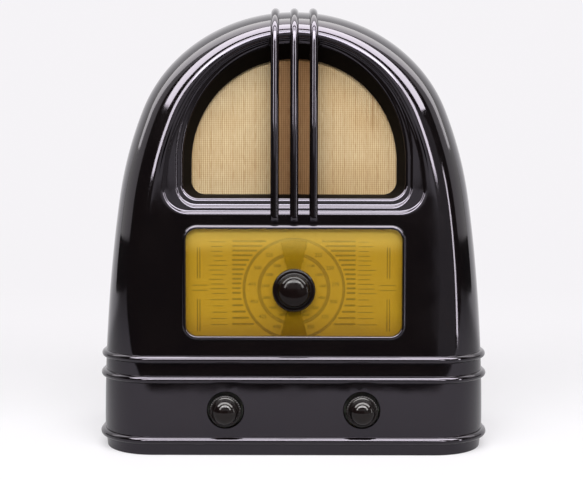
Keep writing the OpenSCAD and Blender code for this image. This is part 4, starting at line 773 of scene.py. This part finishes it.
def ink_number(number, x, z, high):
    """A printed number, centred on x and z."""
    letters = bpy.data.curves.new("number", "FONT")
    letters.body, letters.size, letters.offset = str(number), high * 1.4, 0.1
    letters.align_x, letters.align_y = "CENTER", "CENTER"
    letters.resolution_u = 3
    shape = placed("number", letters)
    flat = evaluated_mesh(shape)
    points = [(x + v.co.x, ink_y, z + v.co.y) for v in flat.vertices]
    faces = [tuple(f.vertices) for f in flat.polygons]
    bpy.data.objects.remove(shape)
    return points, faces


def joined(parts):
    """The points and faces of several parts as those of one mesh."""
    points, faces = [], []
    for part_points, part_faces in parts:
        faces += [tuple(i + len(points) for i in face) for face in part_faces]
        points += part_points
    return points, faces


def printed(name, marks, material):
    ink = mesh_object(name, *joined(marks), material)
    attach(ink, "root")


# Bold bars stand left and right of the circles, and their inner ends follow the outer circle. Fine
# bars stand beyond them, where the photographed dial has words.
FIRST_BAR_Z, LAST_BAR_Z, PITCH_ABOVE, PITCH_BELOW = 190.6, 111, 4.2, 5.6
BAR_END, BAR_H, FINE_BAR_H, MIN_BAR, CLEAR_R = 55, 1.8, 0.75, 3, 47.6
bold_bars, fine_bars, z = [], [], FIRST_BAR_Z
chance = random.Random(7)
while z > LAST_BAR_Z:
    beside = max(0.0, CLEAR_R ** 2 - (z - TUNING_Z) ** 2)
    inner_end = max(25.0 + chance.uniform(-2, 3), sqrt(beside))
    if inner_end < BAR_END - MIN_BAR:
        bold_bars += [(-BAR_END, -inner_end, z, BAR_H), (inner_end, BAR_END, z, BAR_H)]
    start, end = chance.uniform(-76, -71), chance.uniform(-64, -58.5)
    fine_bars += [(start, end, z - 0.6, FINE_BAR_H), (57.5, chance.uniform(66, 75), z - 0.6, FINE_BAR_H)]
    z -= PITCH_ABOVE if z > TUNING_Z else PITCH_BELOW

# Pairs of upright and of level bars stand at both ends, and one short mark at the top of the circles
for x in (-84, -86.2, 83.4, 85.6):
    fine_bars += [(x - 0.5, x + 0.5, z, high) for z, high in ((171.3, 27.4), (124.3, 28.7))]
fine_bars.append((-0.35, 0.35, 197, 4))
fine_bars += [(x, x + 14, z, 0.7) for x in (-91, 77) for z in (146.6, 151.2)]

# Plain numbers follow both circles, but not under the pointer's ends at rest
NUMBER_STEP, FIRST_NUMBER, AT_POINTER = 24, 78, 0.985
numbers = []
for i in range(360 // NUMBER_STEP):
    a = radians(FIRST_NUMBER - NUMBER_STEP * i)
    if abs(sin(a)) < AT_POINTER:
        for number, r, high in ((200 + 25 * i, 37.3, 3.4), (1000 + 100 * i, 25.5, 2.6)):
            numbers.append(ink_number(number, r * cos(a), TUNING_Z + r * sin(a), high))
printed("printed_bars", [ink_bar(*bar) for bar in bold_bars] + numbers, bold_ink)
circles = [ink_circle(29.4, 32.8), ink_circle(43.3, 46.0)]
printed("printed_circles", circles + [ink_bar(*bar) for bar in fine_bars], pale_ink)

# The pointer is a bow tie cut from smoked celluloid, which the print shows through
dress(worn_surface("smoked_celluloid", "1d1504", "2c2008", 20, 3, (0.2, 0.3), 0.01, ior=1.5, alpha=0.7),
      "pointer")

# Painted steel: a thin grey-green lacquer, a little uneven, with dust in its patches
dress(worn_surface("grey_lacquered_steel", "5b5f58", "767b72", 35, 0.8, (0.38, 0.6), 0.05),
      "dial_back_plate", "gang_bracket", "chassis")

# Bare steel: bright turned or rolled metal that has greyed, with a grain of 0.3 mm
dress(worn_surface("greyed_bare_steel", "807c76", "b3b0aa", 6, 0.3, (0.24, 0.42), 0.06, metallic=1),
      "dial_screws", "drive_balls", "chassis_bolts", "speaker_bolts",
      "tuning_knob_screw", "volume_knob_screw", "wave_knob_screw",
      "tuning_spindle", "volume_spindle", "wave_spindle")

# Brass: yellow metal pressed and turned, gone brown in patches of about 4 mm
dress(worn_surface("tarnished_brass", "7a5f2c", "b59752", 4, 0.3, (0.26, 0.5), 0.05, metallic=1),
      "baffle_screws", "lamp_holders", "drive_housing", "drive_carrier", "control_nuts", "top_caps",
      "back_screws", "sockets")

# Lamp glass: clear and thin, so most of what is behind it shows
dress(worn_surface("clear_lamp_glass", "d8d8d2", "e8e8e4", 12, 3, (0.02, 0.05), 0.0, ior=1.5, alpha=0.25),
      "dial_lamps")


# Baffle board: birch plywood, screwed to the front with brass wood screws, with the cloth over it.
# Its faces show long brown grain that runs across, about 2 mm apart.
dress(worn_surface("birch_plywood", "8f6a43", "b8925f", 40, 2, (0.55, 0.7), 0.12, stretch=(0.06, 1, 1)),
      "baffle_board")


# Tuning capacitor: vanes and frame of sheet aluminium, rolled, punched and riveted, dull with age.
# Rolling leaves fine lines along the sheet.
dress(worn_surface("rolled_aluminium", "9b9c9e", "c4c5c7", 18, 0.5, (0.28, 0.45), 0.06,
                   stretch=(0.08, 1, 1), metallic=1),
      "gang_frame", "gang_stators", "gang_rotor")


# Speaker: a pressed steel basket, stove-enamelled black, holds a cone of grey felted paper. A leather
# edge and a corrugated spider carry the cone, and a pot magnet with a field coil stands behind it.
dress(worn_surface("black_stove_enamel", "131314", "232325", 20, 0.7, (0.28, 0.45), 0.06),
      "speaker_frame", "speaker_magnet", "volume_control")

# Felted paper: matt, mottled by fibres 1 to 2 mm long
dress(worn_surface("felted_cone_paper", "2f2c29", "4a4540", 9, 1.2, (0.85, 0.95), 0.35),
      "speaker_cone", "dust_cap")

# Edge leather: a soft suede roll, brown-black and without shine
edge_leather = worn_surface("soft_edge_leather", "2c211a", "46362a", 5, 0.5, (0.8, 0.95), 0.3)

# Doped cloth: amber varnish over an open weave, whose threads lie 0.6 mm apart
doped_cloth = worn_surface("doped_spider_cloth", "7d5a2b", "a47b42", 6, 0.6, (0.5, 0.65), 0.4)

dress(worn_surface("enamelled_copper_wire", "5c2c16", "96512c", 8, 0.4, (0.3, 0.42), 0.08, metallic=0.6),
      "voice_coil", "transformer_coils")

# The field coil is wrapped in varnished cotton tape, 12 mm wide, over its wire
dress(worn_surface("varnished_cotton_tape", "6b5632", "92794c", 12, 0.5, (0.55, 0.7), 0.3), "field_coil")

SPEAKER_Z, CONE_D, SPIDER_D, SPLIT_GAP, CORRUGATIONS = 293, 34.6, 82.1, 0.1, 6


def flexing_sheet(names, profile, thick, split_r, material, node):
    """A turned sheet between the cone and the basket: its inner part moves with the cone."""
    inner = [(r, d) for r, d in profile if r < split_r] + [(split_r, profile[-1][1])]
    outer = [(split_r + SPLIT_GAP, profile[-1][1]), profile[-1]]
    for name, body, front in zip(names, ("cone", "root"), (inner, outer)):
        back = [(r, d + thick) for r, d in front[::-1]]
        part = turned(name, front + back, (0, FRONT_Y, SPEAKER_Z), material, 128, looped=True)
        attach(part, body)
        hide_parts(node)


# The leather edge rolls out and back once, and its rim is glued to the basket's ledge
edge = [(lerp(65, 67.2, i / 14), CONE_D - 1.2 * sin(pi * i / 14) ** 1.2) for i in range(14)]
flexing_sheet(("edge_roll", "edge_rim"), edge + [(71.6, CONE_D - 0.1)], 0.55, 67.3, edge_leather,
              "cone_surround")

# The spider's corrugations run round it, between the voice coil's former and the basket
spider = [(lerp(13.5, 28.2, i / 72), SPIDER_D + 0.25 * sin(2 * pi * CORRUGATIONS * i / 72))
          for i in range(73)]
flexing_sheet(("spider_disc", "spider_rim"), spider + [(32.8, SPIDER_D)], 0.3, 28.4, doped_cloth,
              "speaker_spider")


# Valves: glass bulbs in brown moulded bases, plugged into holders of paxolin. Two are sprayed with
# metal as a screen, and the output valve and the rectifier are clear, with their electrodes in sight.
dress(worn_surface("paxolin_sheet", "5a3a1e", "7c5430", 15, 1, (0.35, 0.5), 0.08, stretch=(0.2, 1, 1)),
      "wave_switch", "valve_holders", "socket_strip", "component_board")

dress(worn_surface("brown_valve_base_phenolic", "1d110c", "33201a", 12, 0.6, (0.2, 0.35), 0.03, ior=1.6),
      "valve_bases")

# Sprayed zinc: a grey coat as rough as fine sandpaper, rubbed brighter in patches
dress(worn_surface("sprayed_zinc_on_glass", "83827f", "a8a7a3", 10, 0.4, (0.45, 0.65), 0.15,
                   metallic=0.85), "screened_valves")

dress(worn_surface("clear_valve_glass", "cfd2cf", "e2e4e2", 20, 5, (0.02, 0.05), 0.0, ior=1.5, alpha=0.2),
      "clear_valves")

dress(worn_surface("blackened_nickel", "3a3a3c", "6e6e70", 5, 0.4, (0.35, 0.5), 0.05, metallic=1),
      "valve_electrodes")


# Cans: the tall ones hold smoothing capacitors and the short ones coils. They are deep-drawn from
# aluminium, so they are smooth, with faint rings from the spinning of their ends.
dress(worn_surface("spun_aluminium", "a4a5a6", "cdcecf", 14, 0.6, (0.25, 0.4), 0.05,
                   stretch=(1, 1, 0.1), metallic=1),
      "smoothing_cans", "if_cans", "coil_can")


# Transformers: coils on stacks of silicon-steel sheets, which are 0.5 mm thick and varnished brown.
# The sheets' edges are drawn 1.5 mm apart here, because the real ones are too fine to show.
laminations, tree = empty_material("varnished_laminations")
place = add(tree, "TexCoord").outputs["Object"]
sheets = add(tree, "TexWave", {"Vector": place, "Scale": WAVE / (1.5 * MM), "Distortion": 0.3,
                               "Detail": 1}, bands_direction="Y")
rust = add(tree, "TexNoise", {"Vector": place, "Scale": 90, "Detail": 4})
grey = add(tree, "Mix", {0: sheets.outputs["Fac"], 6: "2b2724", 7: "5a5450"}, data_type="RGBA")
rusty = add(tree, "MapRange",
            {"Value": rust, "From Min": 0.5, "From Max": 0.75, "To Min": 0, "To Max": 0.7})
colour = add(tree, "Mix", {0: rusty, 6: grey, 7: "5e3f2a"}, data_type="RGBA")
relief = add(tree, "Bump", {"Height": sheets.outputs["Fac"], "Strength": 0.35, "Distance": 0.0004})
shader = add(tree, "BsdfPrincipled",
             {"Base Color": colour, "Roughness": 0.5, "Metallic": 0.5, "Normal": relief})
add(tree, "OutputMaterial", {"Surface": shader})
dress(laminations, "transformer_cores")


# Top-cap leads: stranded wire in a braid of red-brown cotton, 3.2 mm across, from each brass cap down
# to the can beside it. The braid's strands run round it aslant, a quarter of a millimetre wide.
braided_cotton, tree = empty_material("braided_cotton")
place = add(tree, "TexCoord").outputs["UV"]
twill = add(tree, "TexWave", {"Vector": place, "Scale": 6, "Distortion": 0},
            bands_direction="DIAGONAL")
fuzz = add(tree, "TexNoise", {"Vector": place, "Scale": 40, "Detail": 3})
colour = add(tree, "Mix", {0: twill.outputs["Fac"], 6: "4e2a1c", 7: "8a5238"}, data_type="RGBA")
worn = add(tree, "Mix", {0: fuzz, 6: colour, 7: "a07a5e"}, data_type="RGBA")
relief = add(tree, "Bump", {"Height": twill.outputs["Fac"], "Strength": 0.6, "Distance": 0.0005})
shader = add(tree, "BsdfPrincipled", {"Base Color": worn, "Roughness": 0.85, "Normal": relief})
add(tree, "OutputMaterial", {"Surface": shader})

LEAD_R, LEAD_BOW, LEAD_STEPS, LEAD_SIDES = 1.6, 26, 40, 16
lead_parts, lead_uvs = [], []
for x0, d0, z0, x1, d1, z1 in ((-112, 62, 185.2, -74, 62, 146.2), (-112, 114, 185.2, -72, 114, 150.2)):
    path = []
    for u in [i / LEAD_STEPS for i in range(LEAD_STEPS + 1)]:
        x, d = lerp(x0, x1, smooth(u)), lerp(d0, d1, smooth(u))
        path.append(Vector((x, FRONT_Y + d, lerp(z0, z1, u) + LEAD_BOW * sin(pi * u))))
    rings = []
    for i, p in enumerate(path):
        along = (path[min(i + 1, LEAD_STEPS)] - path[max(i - 1, 0)]).normalized()
        side = Vector((0, 1, 0))
        up = along.cross(side).normalized()
        rings.append([tuple(p + (side * u + up * v) * LEAD_R) for u, v in circle(1, LEAD_SIDES)])
    lead_parts.append(ring_solid(rings))
    for i in range(LEAD_STEPS):
        for k in range(LEAD_SIDES):
            lead_uvs += [(u / 4, v * 1.1) for u, v in ((k, i), (k + 1, i), (k + 1, i + 1), (k, i + 1))]
    lead_uvs += [(0, 0)] * 2 * LEAD_SIDES
leads = mesh_object("braided_leads", *joined(lead_parts), braided_cotton)
for corner, uv in zip(leads.data.uv_layers.new(name="braid").data, lead_uvs):
    corner.uv = uv
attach(leads, "root")
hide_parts("top_cap_leads")


# Small parts: resistors and capacitors with ceramic and waxed-card bodies, soldered on their board.
dress(worn_surface("glazed_small_parts", "8d7f5c", "c2b386", 7, 0.8, (0.3, 0.5), 0.05), "small_parts")


# Back: a cover of pressed fibre board, punched with rows of holes, held by brass screws. The aerial
# and earth sockets stand in a window of it, and the mains lead leaves through a rubber grommet.
fibre_board, tree = empty_material("pressed_fibre_board")
place = add(tree, "TexCoord").outputs["Object"]
# Hair-like fibres of wood lie in all directions in the board, about a millimetre apart
fibres = add(tree, "TexNoise", {"Vector": place, "Scale": 900, "Detail": 4, "Distortion": 2.5})
clouds = add(tree, "TexNoise", {"Vector": place, "Scale": 22, "Detail": 3})
blend = add(tree, "Math", {0: fibres, 1: 0.6, 2: -0.05}, operation="MULTIPLY_ADD")
blend = add(tree, "Math", {0: clouds, 1: 0.5, 2: blend}, operation="MULTIPLY_ADD", use_clamp=True)
colour = add(tree, "Mix", {0: blend, 6: "4a3626", 7: "8a6c4c"}, data_type="RGBA")
relief = add(tree, "Bump", {"Height": fibres, "Strength": 0.25, "Distance": 0.0005})
shader = add(tree, "BsdfPrincipled", {"Base Color": colour, "Roughness": 0.72, "Normal": relief})
add(tree, "OutputMaterial", {"Surface": shader})
dress(fibre_board, "back_cover")

# Rubber: black going grey, with a powdery bloom
dress(worn_surface("perished_rubber", "1b1a1a", "33312f", 5, 0.5, (0.65, 0.85), 0.15), "mains_grommet")


# Last, the box of the model as dressed.
low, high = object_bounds()
